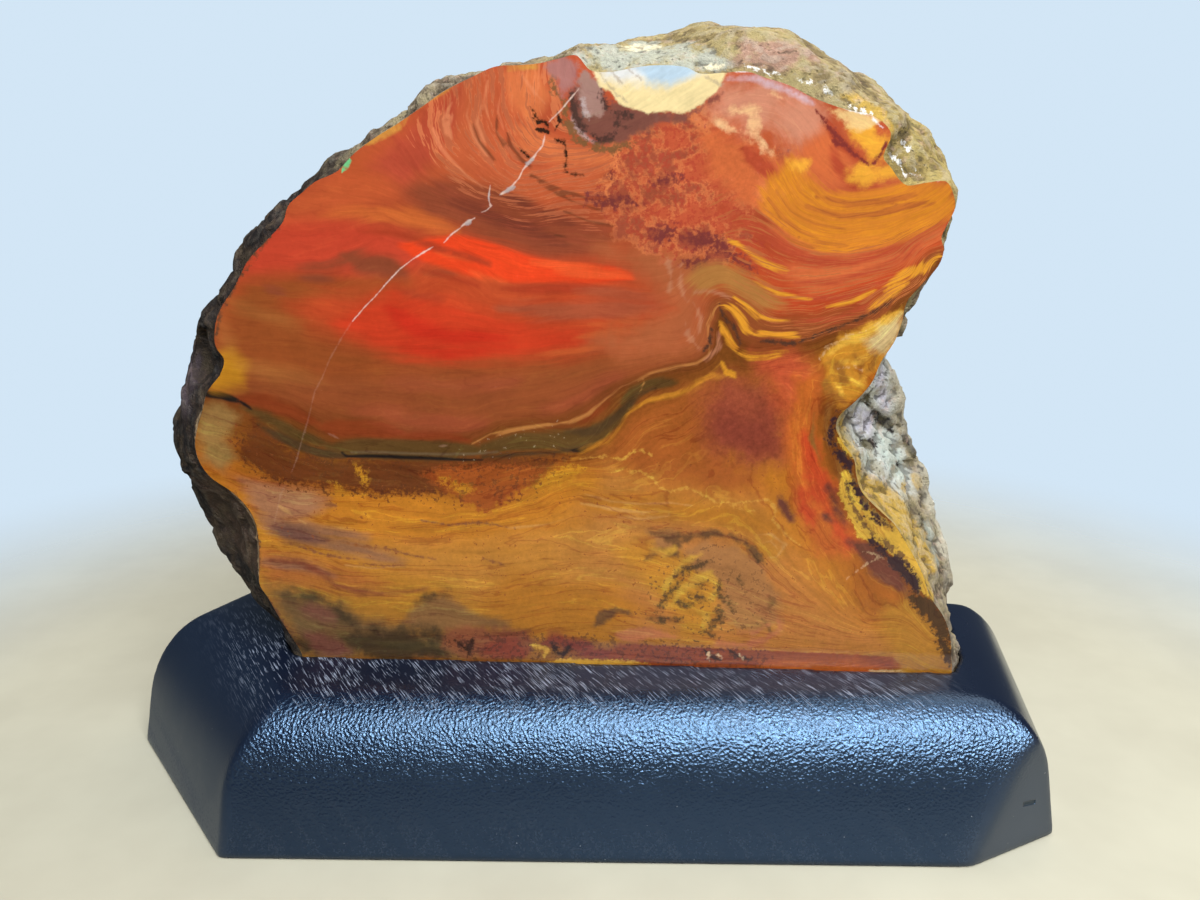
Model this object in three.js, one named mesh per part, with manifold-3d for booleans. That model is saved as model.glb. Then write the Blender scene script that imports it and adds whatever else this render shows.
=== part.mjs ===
// Rough red jasper on its stand: a thick slab of jasper, sawn and polished on one side and still in
// its natural rind on all the others, seated in a socket that is carved into a black-painted block
// of wood. Millimetres, +Z up. The origin is the centre of the stand's footprint, on the table. The
// polished face looks along -Y.
import * as THREE from "three";
import { mergeVertices } from "three/addons/utils/BufferGeometryUtils.js";
import Module from "manifold-3d";

// ---- The stand's dimensions ---------------------------------------------------------------------

const STAND_HEIGHT = 40; // the thickness of the plank
const SOCKET_DEPTH = 10; // how deep the stone's foot goes into the stand
const SOCKET_GAP = 0.35; // clearance between the foot and its socket
const SHOULDER_STEPS = 7;

// The stand's sides, anticlockwise from its left point: where each starts in plan, how far it leans
// in by the height where its shoulder begins, how far in the flat top begins, and how steeply the
// shoulder still falls there, which leaves an arris along the top where it isn't 0. The short side
// at the front right is sawn off upright.
const STAND_SIDES = [
  { name: "left front", from: [-140, 7], lean: 3.2, shoulder: 15, top: 22, brow: 0.58 },
  { name: "front", from: [-94, -48], lean: 6, shoulder: 24, top: 18, brow: 0.4 },
  { name: "sawn corner", from: [101, -48], lean: 0, shoulder: STAND_HEIGHT, top: 0, brow: 0 },
  { name: "right end", from: [128.5, -34], lean: 4, shoulder: 20, top: 26, brow: 0 },
  { name: "back right corner", from: [140, 25], lean: 2, shoulder: 22, top: 14, brow: 0 },
  { name: "back", from: [127, 39], lean: 3, shoulder: 22, top: 13, brow: 0 },
  { name: "left back", from: [-119, 48], lean: 0.5, shoulder: 18, top: 19, brow: 0 },
];

// ---- The stone's dimensions, in its own frame ---------------------------------------------------
// x runs along the polished face, z up from the table, and depth backwards from the face.

const STONE_AT = new THREE.Vector2(10, -15); // the face's middle, in the stand's plan
const STONE_TURN = THREE.MathUtils.degToRad(-2); // the slab sits a little skew on its stand
const FOOT_LEVEL = STAND_HEIGHT - SOCKET_DEPTH; // the foot is sawn flat here
const STONE_CENTRE = [-8, 110]; // both outlines below go round this point of the face

// The edge of the polished face, clockwise from the foot's left end: [x, z].
const FACE_OUTLINE = [
  [-86, 24], [-91.5, 42], [-97, 54], [-100.7, 61], [-100, 70], [-100.5, 80], [-106, 88.5],
  [-113, 95], [-114.5, 103], [-111.7, 112], [-107.3, 119.6], [-104.5, 126], [-106, 131],
  [-103.7, 139], [-95, 151.5], [-85.3, 160.7], [-80, 168], [-68, 176], [-54, 184.5], [-43, 191.5],
  [-30, 197], [-14, 198.8], [-7, 196], [8, 197.5], [24, 195.2], [36, 193.5], [50, 188],
  [60, 185], [64, 176], [70, 170.8], [78, 170.5], [81.3, 164], [79, 157], [79.5, 152], [72, 143],
  [69.6, 131.7], [65.5, 122], [57, 113], [56, 107], [60, 99], [62, 90], [69, 78], [81, 67],
  [88.5, 57], [91.5, 48], [92.5, 38], [92, 22],
];

// Where the natural skin stands out furthest behind the face, in the same order: [x, z, depth,
// swell]. Between the face and there the skin is rounded at a swell of 1, straight at 0, and
// hollow below that.
const GIRTH_OUTLINE = [
  [-92, 24, 14, 0.6], [-103, 45, 15, 0.5], [-113.5, 58, 15, 0.2], [-122.5, 73.5, 16, 0.1],
  [-129, 90, 16, 0.4], [-125, 111, 15, 0.6], [-118, 129, 14, 0.5], [-106, 149, 14, 0.7],
  [-90, 165.5, 12, 0.8], [-69.5, 180, 10, 0.9], [-54, 190, 9, 0.9], [-34, 198.5, 8, 0.9],
  [-15, 202, 12, 0.8], [-4, 206, 16, 0.7], [7, 207.5, 20, 0.6], [21, 209.8, 22, 0.7],
  [33, 210.2, 23, 0.8], [43.5, 207.5, 23, 0.9], [60, 199.5, 23, 0.9], [73, 191.5, 22, 0.9],
  [80.5, 184, 20, 0.8], [85, 170.5, 14, 0.6], [82, 157, 9, 0.6], [82, 149.5, 8, 0.6],
  [81, 142, 9, 0.4], [75, 134, 11, 0.1], [74.5, 122, 16, -0.1], [80.5, 114, 22, -0.3],
  [88, 99.5, 28, -0.3], [95, 82, 32, -0.2], [98, 67, 33, 0.1], [101.5, 47, 32, 0.3],
  [102.5, 36, 30, 0.4], [103, 22, 29, 0.4],
];

const BACK_SHARE = 0.86; // the back's rim, as a share of the girth's radius
const BACK_DEPTH = { foot: 38, crown: 43 }; // depth of the back's rim at the foot and at the crown
const BACK_SWELL = 7; // how far the back bulges past its rim
const AROUND = 128; // points round each ring
const RINGS = { skin: 7, flank: 5, back: 7 }; // face to girth, girth to the back's rim, and the back

// Broad lumps of the skin, as waves: [wavelength in x, in depth, in z, phase, height], and the same
// for the slow waves of the back.
const SKIN_WAVES = [
  [46, 60, 38, 0.4, 0.9],
  [-31, 40, 44, 2.1, 0.8],
  [23, -34, 29, 4.0, 0.6],
  [18, 26, -21, 1.3, 0.4],
];
const BACK_WAVES = [
  [95, 200, 70, 0.9, 1.5],
  [-60, 200, 85, 2.6, 1.2],
  [52, 200, -48, 4.4, 0.7],
];

// Flakes and hollows where the skin has broken away, each the mark of a ball: [x, depth, z, radius].
const BREAKS = [
  [-116, 3, 126, 8], // the notch high on the left
  [-120.5, -5, 73, 18], // a smooth flake under the left shoulder
  [-60, 22, 200, 11],
  [87, 2, 132, 9], // the hollow under the right shoulder
  [83, 8, 108, 12], // pockets of the broken right flank
  [84, 14, 92, 8],
  [88, 4, 78, 8],
  [62, 130, 170, 92], // flakes off the back
  [-58, 156, 150, 115],
  [-30, 128, 70, 86],
  [58, 120, 92, 80],
];

const FINISH = {
  jasper: { color: 0x9c4424, roughness: 0.35, metalness: 0 },
  paintedWood: { color: 0x14171f, roughness: 0.5, metalness: 0 },
};

// ---- Solids and skins ---------------------------------------------------------------------------

const wasm = await Module();
wasm.setup();

// A closed geometry as a solid that can be cut.
function toSolid(geometry) {
  const bare = geometry.clone();
  bare.deleteAttribute("normal");
  bare.deleteAttribute("uv");
  const merged = mergeVertices(bare, 1e-4);
  return new wasm.Manifold(
    new wasm.Mesh({
      numProp: 3,
      vertProperties: merged.attributes.position.array,
      triVerts: new Uint32Array(merged.index.array),
    }),
  );
}

// A cut solid as a geometry again.
function toGeometry(solid) {
  const mesh = solid.getMesh();
  const geometry = new THREE.BufferGeometry();
  geometry.setAttribute("position", new THREE.BufferAttribute(mesh.vertProperties, 3));
  geometry.setIndex(new THREE.BufferAttribute(mesh.triVerts, 1));
  return geometry;
}

// A closed skin over rings that all have the same number of points, with a fan over each end.
function skinRings(rings, firstMiddle, lastMiddle) {
  const count = rings[0].length;
  const lastRing = (rings.length - 1) * count;
  const [firstTip, lastTip] = [rings.length * count, rings.length * count + 1];
  const faces = [];
  for (let i = 0; i < count; i++) {
    const next = (i + 1) % count;
    faces.push(firstTip, next, i);
    for (let start = 0; start < lastRing; start += count) {
      faces.push(start + i, start + next, start + count + i);
      faces.push(start + next, start + count + next, start + count + i);
    }
    faces.push(lastTip, lastRing + i, lastRing + next);
  }
  const points = [...rings.flat(), firstMiddle, lastMiddle].flatMap((point) => point.toArray());
  const geometry = new THREE.BufferGeometry();
  geometry.setAttribute("position", new THREE.Float32BufferAttribute(points, 3));
  geometry.setIndex(faces);
  return geometry;
}

// ---- The stone ----------------------------------------------------------------------------------

// An outline as { angle, values: [radius, ...rest] } round the stone's centre, by rising angle.
function polar(outline) {
  const knots = outline.map(([x, z, ...rest]) => {
    const [dx, dz] = [x - STONE_CENTRE[0], z - STONE_CENTRE[1]];
    return { angle: Math.atan2(dz, dx), values: [Math.hypot(dx, dz), ...rest] };
  });
  return knots.sort((a, b) => a.angle - b.angle);
}

// A polar outline's values at an angle, on a smooth curve through its knots.
function valuesAt(knots, angle) {
  const knot = (i) => {
    const turns = Math.floor(i / knots.length);
    const { angle: at, values } = knots[i - turns * knots.length];
    return { at: at + turns * 2 * Math.PI, values };
  };
  let i = -1;
  while (knot(i + 1).at <= angle) i++;
  const [before, from, to, after] = [i - 1, i, i + 1, i + 2].map(knot);
  const span = to.at - from.at;
  const t = (angle - from.at) / span;
  const [t2, t3] = [t * t, t * t * t];
  return from.values.map((value, k) => {
    const slopeFrom = ((to.values[k] - before.values[k]) / (to.at - before.at)) * span;
    const slopeTo = ((after.values[k] - value) / (after.at - from.at)) * span;
    return (
      (2 * t3 - 3 * t2 + 1) * value + (t3 - 2 * t2 + t) * slopeFrom +
      (3 * t2 - 2 * t3) * to.values[k] + (t3 - t2) * slopeTo
    );
  });
}

// How far a set of waves stands proud at a point, in mm.
function proud(waves, x, depth, z) {
  return waves.reduce((sum, [waveX, waveDepth, waveZ, phase, height]) => {
    return sum + height * Math.sin(2 * Math.PI * (x / waveX + depth / waveDepth + z / waveZ) + phase);
  }, 0);
}

// The point of the stone at an angle, a radius and a depth.
function stonePoint(angle, radius, depth) {
  return new THREE.Vector3(
    STONE_CENTRE[0] + radius * Math.cos(angle), depth, STONE_CENTRE[1] + radius * Math.sin(angle),
  );
}

// Presses a point out of every ball that has broken the skin, by a share of the way.
function breakAway(point, share) {
  for (const [x, depth, z, radius] of BREAKS) {
    const ball = new THREE.Vector3(x, depth, z);
    if (point.distanceTo(ball) < radius) {
      const pressed = point.clone().sub(ball).setLength(radius).add(ball);
      point.lerp(pressed, share);
    }
  }
  return point;
}

// Brings what would reach below the sawn foot up to it, along the line to the stone's centre.
function sawFoot(point, footLevel) {
  if (point.z >= footLevel) return point;
  const share = (STONE_CENTRE[1] - footLevel) / (STONE_CENTRE[1] - point.z);
  point.x = STONE_CENTRE[0] + (point.x - STONE_CENTRE[0]) * share;
  point.z = footLevel;
  return point;
}

// A section of the stone at an angle: its points from the polished edge to near the back's middle.
function section(angle) {
  const [faceRadius] = valuesAt(FACE, angle);
  const [girthRadius, girthDepth, swell] = valuesAt(GIRTH, angle);
  const rimRadius = BACK_SHARE * girthRadius;
  const height = (1 + Math.sin(angle)) / 2;
  const rimDepth = THREE.MathUtils.lerp(BACK_DEPTH.foot, BACK_DEPTH.crown, height);
  const points = [stonePoint(angle, faceRadius, 0)];
  const addSkin = (radius, depth, share) => {
    const { x, z } = stonePoint(angle, radius, depth);
    const lump = share * (proud(SKIN_WAVES, x, depth, z) - 0.3);
    points.push(breakAway(stonePoint(angle, radius + lump, depth), share));
  };
  for (let k = 1; k <= RINGS.skin; k++) {
    const t = k / RINGS.skin;
    const turn = (t * Math.PI) / 2;
    const out = t + swell * (Math.sin(turn) - t);
    const back = t + swell * (1 - Math.cos(turn) - t);
    addSkin(THREE.MathUtils.lerp(faceRadius, girthRadius, out), girthDepth * back, Math.min(1, 2 * t));
  }
  for (let k = 1; k <= RINGS.flank; k++) {
    const turn = (k / RINGS.flank) * (Math.PI / 2);
    const radius = THREE.MathUtils.lerp(girthRadius, rimRadius, 1 - Math.cos(turn));
    addSkin(radius, THREE.MathUtils.lerp(girthDepth, rimDepth, Math.sin(turn)), 1);
  }
  for (let k = 1; k < RINGS.back; k++) {
    const t = k / RINGS.back;
    const swollen = rimDepth + BACK_SWELL * Math.sin((t * Math.PI) / 2);
    const { x, z } = stonePoint(angle, rimRadius * (1 - t), 0);
    const point = stonePoint(angle, rimRadius * (1 - t), swollen + t * proud(BACK_WAVES, x, 0, z));
    points.push(breakAway(point, 1));
  }
  return points;
}

// The slab, grown on every side by an amount. With none it is the stone, and grown by the clearance
// it is the cutter for the stone's socket.
function slab(grow) {
  const angles = Array.from({ length: AROUND }, (_, i) => Math.PI - (i * 2 * Math.PI) / AROUND);
  const sections = angles.map(section);
  const behind = sections[0].length - RINGS.back;
  const rings = sections[0].map((_, ring) => angles.map((angle, i) => {
    const point = sections[i][ring].clone();
    const side = THREE.MathUtils.clamp(ring / 2, 0, 1);
    point.add(new THREE.Vector3(Math.cos(angle) * grow, 0, Math.sin(angle) * grow));
    point.y += ring === 0 ? -grow : side * THREE.MathUtils.clamp((ring - behind) / 3 + 1, 0, 1) * grow;
    return sawFoot(point, FOOT_LEVEL - grow);
  }));
  const backDepth = (BACK_DEPTH.foot + BACK_DEPTH.crown) / 2 + BACK_SWELL;
  return skinRings(rings, stonePoint(0, 0, -grow), stonePoint(0, 0, backDepth + grow));
}

// Puts a shape of the stone's frame in its place on the stand.
function seat(geometry) {
  return geometry.rotateZ(STONE_TURN).translate(STONE_AT.x, STONE_AT.y, 0);
}

// ---- The stand's block --------------------------------------------------------------------------

// Everything inside one side of the stand: its profile, run on far past both of its ends.
function insideOf({ from, lean, shoulder, top, brow }, to) {
  const FAR = 400;
  const profile = new THREE.Shape().moveTo(0, 0);
  if (top > 0) {
    // The shoulder's curve starts in line with the leaning wall and ends in line with its brow.
    const wall = lean / shoulder;
    const bend = (STAND_HEIGHT - top * brow) / (1 - wall * brow);
    profile.lineTo(lean, shoulder);
    profile.quadraticCurveTo(wall * bend, bend, top, STAND_HEIGHT);
  } else {
    profile.lineTo(0, STAND_HEIGHT);
  }
  profile.lineTo(FAR, STAND_HEIGHT).lineTo(FAR, 0);
  const settings = { depth: 2 * FAR, bevelEnabled: false, curveSegments: SHOULDER_STEPS };
  const prism = new THREE.ExtrudeGeometry(profile, settings).translate(0, 0, -FAR);
  const along = new THREE.Vector3(to[0] - from[0], to[1] - from[1], 0).normalize();
  const inward = new THREE.Vector3(-along.y, along.x, 0);
  const place = new THREE.Matrix4().makeBasis(inward, new THREE.Vector3(0, 0, 1), along);
  return toSolid(prism.applyMatrix4(place.setPosition(from[0], from[1], 0)));
}

function standBlock() {
  const insides = STAND_SIDES.map((side, i) => {
    return insideOf(side, STAND_SIDES[(i + 1) % STAND_SIDES.length].from);
  });
  return insides.reduce((block, inside) => block.intersect(inside));
}

// ---- Assembly -----------------------------------------------------------------------------------

const FACE = polar(FACE_OUTLINE);
const GIRTH = polar(GIRTH_OUTLINE);

function named(name, geometry, finish) {
  const mesh = new THREE.Mesh(geometry, new THREE.MeshStandardMaterial(finish));
  mesh.name = name;
  return mesh;
}

const stone = seat(slab(0));
const socket = toSolid(seat(slab(SOCKET_GAP)));
const stand = toGeometry(standBlock().subtract(socket));

const object = new THREE.Group();
object.add(named("jasper_slab", stone, FINISH.jasper));
object.add(named("wooden_stand", stand, FINISH.paintedWood));

export default object;
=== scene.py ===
"""Dresses a slab of rough red jasper and its black-painted wooden stand.

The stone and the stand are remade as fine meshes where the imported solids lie. The polished face is
painted by soft strokes of mineral pigments, whose edges follow a field of bands, and the natural
rind and the painted wood get their relief from noise in the mesh and in their materials.

Lengths in the tables are millimetres. The stone has its own frame: x along the polished face, z up
from the table, and depth backwards from the face.
"""

from __future__ import annotations

import logging
import math
import sys
from dataclasses import dataclass, field
from enum import Enum
from typing import Any, Callable, Mapping, Sequence

import bpy
import numpy as np
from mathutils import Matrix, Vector
from mathutils.geometry import delaunay_2d_cdt

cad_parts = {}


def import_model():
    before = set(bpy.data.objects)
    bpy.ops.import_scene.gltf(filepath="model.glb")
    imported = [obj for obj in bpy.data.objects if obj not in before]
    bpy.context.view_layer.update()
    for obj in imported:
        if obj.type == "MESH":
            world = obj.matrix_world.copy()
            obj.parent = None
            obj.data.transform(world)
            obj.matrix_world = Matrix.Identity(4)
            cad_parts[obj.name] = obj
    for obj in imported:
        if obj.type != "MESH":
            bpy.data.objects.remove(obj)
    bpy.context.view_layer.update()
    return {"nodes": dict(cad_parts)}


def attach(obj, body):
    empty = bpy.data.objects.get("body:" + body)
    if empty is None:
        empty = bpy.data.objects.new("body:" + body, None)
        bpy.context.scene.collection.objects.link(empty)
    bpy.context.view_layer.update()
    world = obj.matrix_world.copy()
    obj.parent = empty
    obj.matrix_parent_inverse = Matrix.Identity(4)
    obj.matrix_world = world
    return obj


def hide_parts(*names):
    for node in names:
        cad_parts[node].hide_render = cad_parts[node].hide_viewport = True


LOG = logging.getLogger("jasper")
MM = 0.001

Array = np.ndarray
Mesh = bpy.types.Mesh
Colour = tuple[float, float, float]
Point2 = tuple[float, float]


def knots_in(text: str) -> Array:
    """Rows of numbers, written as "x,z x,z"."""
    return np.array([row.split(",") for row in text.split()], dtype=float)


def parts_in(text: str) -> list[tuple[float | None, Array]]:
    """Rows of numbers with | between them, each after its own number and a colon where it has one."""
    parts = (part.rpartition(":") for part in text.split("|"))
    return [(float(number) if number else None, knots_in(points)) for number, _, points in parts]


def read(items: bpy.types.bpy_prop_collection, name: str, width: int, kind: type = float) -> Array:
    """Reads a mesh's own numbers, such as its points' places.

    Args:
        items: The points, edges or stored values.
        name: What is read.
        width: How many numbers each item has.
        kind: Their type.

    Returns:
        One row for each item.
    """
    values = np.empty(len(items) * width, dtype=kind)
    items.foreach_get(name, values)
    return values.reshape(-1, width)


def hang(name: str, data: bpy.types.ID) -> bpy.types.Object:
    """Puts an object in the scene.

    Args:
        name: Its name.
        data: Its mesh, lamp or camera.

    Returns:
        The object.
    """
    thing = bpy.data.objects.new(name, data)
    bpy.context.scene.collection.objects.link(thing)
    return thing


class Node(Enum):
    """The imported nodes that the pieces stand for."""

    STONE = "jasper_slab"
    STAND = "wooden_stand"


class Slot(Enum):
    """The record's material slots."""

    JASPER = "jasper"
    PAINTED_WOOD = "painted_wood"


# ---- Shader maths ------------


def _maths(operation: str, reflected: bool = False) -> Callable[[Signal, Any], Signal]:
    """Makes an arithmetic operator that adds one Math node.

    Args:
        operation: What the node works out.
        reflected: Whether the signal is its second value.

    Returns:
        The operator.
    """

    def work_out(signal: Signal, other: Any) -> Signal:
        """Adds the node."""
        values = (other, signal) if reflected else (signal, other)
        return signal.bench.node("ShaderNodeMath", {"operation": operation}, values)

    return work_out


class Signal:
    """A value that flows through a material's nodes, with plain arithmetic on it."""

    def __init__(self, bench: Bench, socket: bpy.types.NodeSocket) -> None:
        """Wraps an output socket of a bench's node tree."""
        self.bench = bench
        self.socket = socket

    __add__ = __radd__ = _maths("ADD")
    __mul__ = __rmul__ = _maths("MULTIPLY")
    __sub__ = _maths("SUBTRACT")
    __rsub__ = _maths("SUBTRACT", reflected=True)
    __truediv__ = _maths("DIVIDE")
    __rtruediv__ = _maths("DIVIDE", reflected=True)

    def __abs__(self) -> Signal:
        """The size of self without its sign."""
        return self.bench.node("ShaderNodeMath", {"operation": "ABSOLUTE"}, [self])

    def step(self, low: float, high: float) -> Signal:
        """A smooth step of self.

        Args:
            low: Where the step starts, at 0.
            high: Where it ends, at 1. It may be below low, for a step down.

        Returns:
            A value between 0 and 1.
        """
        if low <= high:
            return self.bench.node(
                "ShaderNodeMapRange",
                {"interpolation_type": "SMOOTHSTEP"},
                {"Value": self, "From Min": low, "From Max": high},
            )
        return 1.0 - self.step(high, low)


class Bench:
    """Builds one material's node tree."""

    MIX_SHARE, MIX_FIRST, MIX_SECOND, MIX_RESULT = 0, 6, 7, 2  # the Mix node's sockets for colours

    def __init__(self, name: str) -> None:
        """Starts an empty material.

        Args:
            name: The material's name.
        """
        self.material = bpy.data.materials.new(name)
        self.material.use_nodes = True
        self.tree = self.material.node_tree
        self.tree.nodes.clear()

    def node(
        self,
        kind: str,
        settings: Mapping[str, Any] | None = None,
        inputs: Mapping[str, Any] | Sequence[Any] = (),
        output: int | str = 0,
    ) -> Signal:
        """Adds one node.

        Args:
            kind: The node's type.
            settings: Its properties. "stops" holds a ramp's stops, as (place, colour).
            inputs: Values or signals for its sockets, by name or in order.
            output: The output that is returned.

        Returns:
            The node's output.
        """
        node = self.tree.nodes.new(kind)
        for key, value in (settings or {}).items():
            if key == "stops":
                self._set_stops(node.color_ramp, value)
            else:
                setattr(node, key, value)
        pairs = inputs.items() if isinstance(inputs, Mapping) else enumerate(inputs)
        for key, value in pairs:
            socket = node.inputs[key]
            if isinstance(value, Signal):
                self.tree.links.new(value.socket, socket)
            elif socket.type == "RGBA" and len(value) == 3:
                socket.default_value = (*value, 1.0)
            else:
                socket.default_value = value
        return Signal(self, node.outputs[output])

    @staticmethod
    def _set_stops(ramp: bpy.types.ColorRamp, stops: Sequence[tuple[float, Colour]]) -> None:
        """Gives a colour ramp its stops.

        Args:
            ramp: The ramp.
            stops: A place and a colour for each.
        """
        while len(ramp.elements) < len(stops):
            ramp.elements.new(0.5)
        for element, (place, colour) in zip(ramp.elements, stops):
            element.position = place
            element.color = (*colour, 1.0)

    def attribute(self, name: str) -> Signal:
        """A number stored at the mesh's points."""
        return self.node("ShaderNodeAttribute", {"attribute_name": name}, output="Fac")

    def place(self) -> Signal:
        """The place on the object, in metres."""
        return self.node("ShaderNodeTexCoord", output="Object")

    def axes(self, vector: Signal) -> tuple[Signal, Signal, Signal]:
        """The three parts of a vector."""
        split = self.node("ShaderNodeSeparateXYZ", {}, [vector]).socket.node
        return tuple(Signal(self, socket) for socket in split.outputs)

    def vector(self, x: Any, y: Any, z: Any) -> Signal:
        """A vector from its three parts."""
        return self.node("ShaderNodeCombineXYZ", {}, [x, y, z])

    def noise(
        self, where: Signal, size: float, detail: float = 3.0, roughness: float = 0.55, warp: float = 0.0
    ) -> Signal:
        """Fractal noise around 0.5, whose largest forms are size mm across."""
        sizes = {"Vector": where, "Scale": 1.0 / (size * MM), "Detail": detail, "Roughness": roughness}
        return self.node("ShaderNodeTexNoise", {"noise_dimensions": "3D"}, sizes | {"Distortion": warp})

    def cells(self, where: Signal, size: float) -> Signal:
        """The distance to the nearest of a scatter of points size mm apart, in steps of size."""
        sizes = {"Vector": where, "Scale": 1.0 / (size * MM)}
        return self.node("ShaderNodeTexVoronoi", {}, sizes, output="Distance")

    def mix(self, share: Any, first: Any, second: Any) -> Signal:
        """The first colour blended with that share of the second."""
        inputs = {self.MIX_SHARE: share, self.MIX_FIRST: first, self.MIX_SECOND: second}
        return self.node("ShaderNodeMix", {"data_type": "RGBA"}, inputs, self.MIX_RESULT)

    def shade(self, colour: Signal, value: Signal) -> Signal:
        """A colour times a value."""
        inputs = {"Vector": colour, "Scale": value}
        return self.node("ShaderNodeVectorMath", {"operation": "SCALE"}, inputs)

    def tint(self, colour: Signal, tint: Colour) -> Signal:
        """A colour multiplied by another, part by part."""
        return self.node("ShaderNodeVectorMath", {"operation": "MULTIPLY"}, [colour, tint])

    def bump(self, height: Signal, rise: float, strength: float = 1.0) -> Signal:
        """A normal bent by a height, of which 1 stands for rise mm."""
        inputs = {"Strength": strength, "Distance": rise * MM, "Height": height}
        return self.node("ShaderNodeBump", {}, inputs)

    def finish(self, surface: Mapping[str, Any]) -> bpy.types.Material:
        """Ends the tree with a Principled shader.

        Args:
            surface: Its inputs by name.

        Returns:
            The material.
        """
        shader = self.node("ShaderNodeBsdfPrincipled", {}, surface, output="BSDF")
        output = self.tree.nodes.new("ShaderNodeOutputMaterial")
        self.tree.links.new(shader.socket, output.inputs["Surface"])
        return self.material


# ---- Noise in the mesh ------------


@dataclass(frozen=True)
class Grit:
    """Repeatable noise for shaping meshes.

    Attributes:
        seed: Picks one of many like patterns.
    """

    seed: int = 0

    def _hash(self, cell: Array, channel: int) -> Array:
        """Random numbers.

        Args:
            cell: Whole-numbered cells.
            channel: Picks one of several numbers for each cell.

        Returns:
            A number from 0 to 1 for each cell.
        """
        mixed = (
            cell[..., 0] * 73856093
            ^ cell[..., 1] * 19349663
            ^ cell[..., 2] * 83492791
            ^ (self.seed * 2654435761 + channel * 40503)
        ) & 0xFFFFFFFF
        mixed = (mixed ^ (mixed >> 15)) * 0x2C1B3C6D & 0xFFFFFFFF
        mixed = (mixed ^ (mixed >> 12)) * 0x297A2D39 & 0xFFFFFFFF
        mixed = mixed ^ (mixed >> 15)
        return mixed.astype(np.float64) / 0xFFFFFFFF

    def smooth(self, points: Array, size: float) -> Array:
        """Smooth noise from -1 to 1.

        Args:
            points: The places.
            size: The size of its forms.

        Returns:
            One value for each place.
        """
        scaled = points / size
        base = np.floor(scaled).astype(np.int64)
        part = scaled - base
        ease = part * part * (3.0 - 2.0 * part)
        total = np.zeros(len(points))
        for corner in range(8):
            offset = np.array([corner & 1, corner >> 1 & 1, corner >> 2 & 1])
            weight = np.prod(np.where(offset == 1, ease, 1.0 - ease), axis=1)
            total += weight * self._hash(base + offset, 0)
        return 2.0 * total - 1.0

    def fractal(self, points: Array, size: float, octaves: int, fall: float = 0.5) -> Array:
        """Smooth noise of several sizes, from about -1 to 1.

        Args:
            points: The places.
            size: The size of the largest forms.
            octaves: How many sizes there are, each half the one before.
            fall: The strength of each size, as a share of the one before.

        Returns:
            One value for each place.
        """
        total = np.zeros(len(points))
        strength = 1.0
        for octave in range(octaves):
            shifted = points + 37.7 * octave
            total += strength * self.smooth(shifted, size / 2**octave)
            strength *= fall
        return total * (1.0 - fall) / (1.0 - fall**octaves)

    def chips(self, points: Array, size: float, tilt: float) -> tuple[Array, Array]:
        """Flat, tilted facets, each round one of a scatter of points.

        Args:
            points: The places.
            size: The mean size of a facet.
            tilt: How far a facet leans, as a slope.

        Returns:
            The facets' heights, and how near each place is to a facet's border, from 0 at it.
        """
        base = np.floor(points / size).astype(np.int64)
        nearest = np.full(len(points), np.inf)
        second = np.full(len(points), np.inf)
        height = np.zeros(len(points))
        for shift in np.ndindex(3, 3, 3):
            cell = base + np.array(shift) - 1
            jitter = np.stack([self._hash(cell, k) for k in (1, 2, 3)], axis=1)
            away = points - (cell + jitter) * size
            distance = np.linalg.norm(away, axis=1)
            lean = np.stack([self._hash(cell, k) for k in (4, 5, 6)], axis=1) - 0.5
            own = 2.0 * tilt * np.sum(away * lean, axis=1) + tilt * size * (self._hash(cell, 7) - 0.5)
            closer = distance < nearest
            second = np.where(closer, nearest, np.minimum(second, distance))
            height = np.where(closer, own, height)
            nearest = np.where(closer, distance, nearest)
        return height, (second - nearest) / size


# ---- The stone's shape ------------

STONE_AT = (10.0, -15.0)  # the face's middle, in the stand's plan
STONE_TURN = math.radians(-2.0)
STONE_CENTRE = (-8.0, 110.0)  # both outlines go round this point of the face
FOOT_LEVEL = 30.0

# The edge of the polished face, clockwise from the foot's left end: x,z.
FACE_OUTLINE = """
    -86,24 -90.6,40.5 -93.5,46.5 -96.5,52.5 -99,58 -100.8,61.5 -100.6,66 -100,73 -100.3,80 -102.5,85
    -106.5,89.3 -111.3,92.8 -114,97 -114.8,102 -113.6,107 -111.6,112 -110,116.5 -108.2,118.8 -105.8,121.5
    -104.3,125.6 -106,128.5 -106.3,131 -105.4,135.5 -103.5,139.3 -99.7,144.3 -95,151.5 -89.7,156.5
    -85.3,160.8 -83.6,164.8 -80,167.8 -76.2,170.6 -70.6,173 -66,177.2 -60.4,181 -54.5,184.3 -48.7,187.9
    -42.8,191.6 -35.6,194.9 -30.2,197.1 -24.5,197.4 -19.3,197.8 -14.2,198.9 -10.5,199.4 -7.4,196.2 -2,195.8
    3,196.6 7.3,197.1 15.3,196.7 19,195.2 25,195.4 30,195.6 34.4,194.2 40.3,192.4 44.7,190.2 49,188.5
    53.5,187.1 59.3,185.8 63,183.8 64.8,180.8 63.3,176.6 65.2,173.9 69.5,169.6 74.5,170.3 78.5,170.6
    80.8,167.4 81.4,164 80.2,161 78.8,157.4 79.7,154.5 78.7,150.4 75.2,146 72,142 71,136.5 69.6,131.7
    66.7,126.6 64.5,120.8 60.4,115.6 57.3,112.6 56.4,109 58.6,104.9 61.6,100.6 62.6,96 64.5,91.5 68.7,87.2
    73.5,82.8 77.5,76.8 82,69 84.6,62.5 89,56.2 91.2,50.4 92,45 92.6,40.5 92,22
"""

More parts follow.
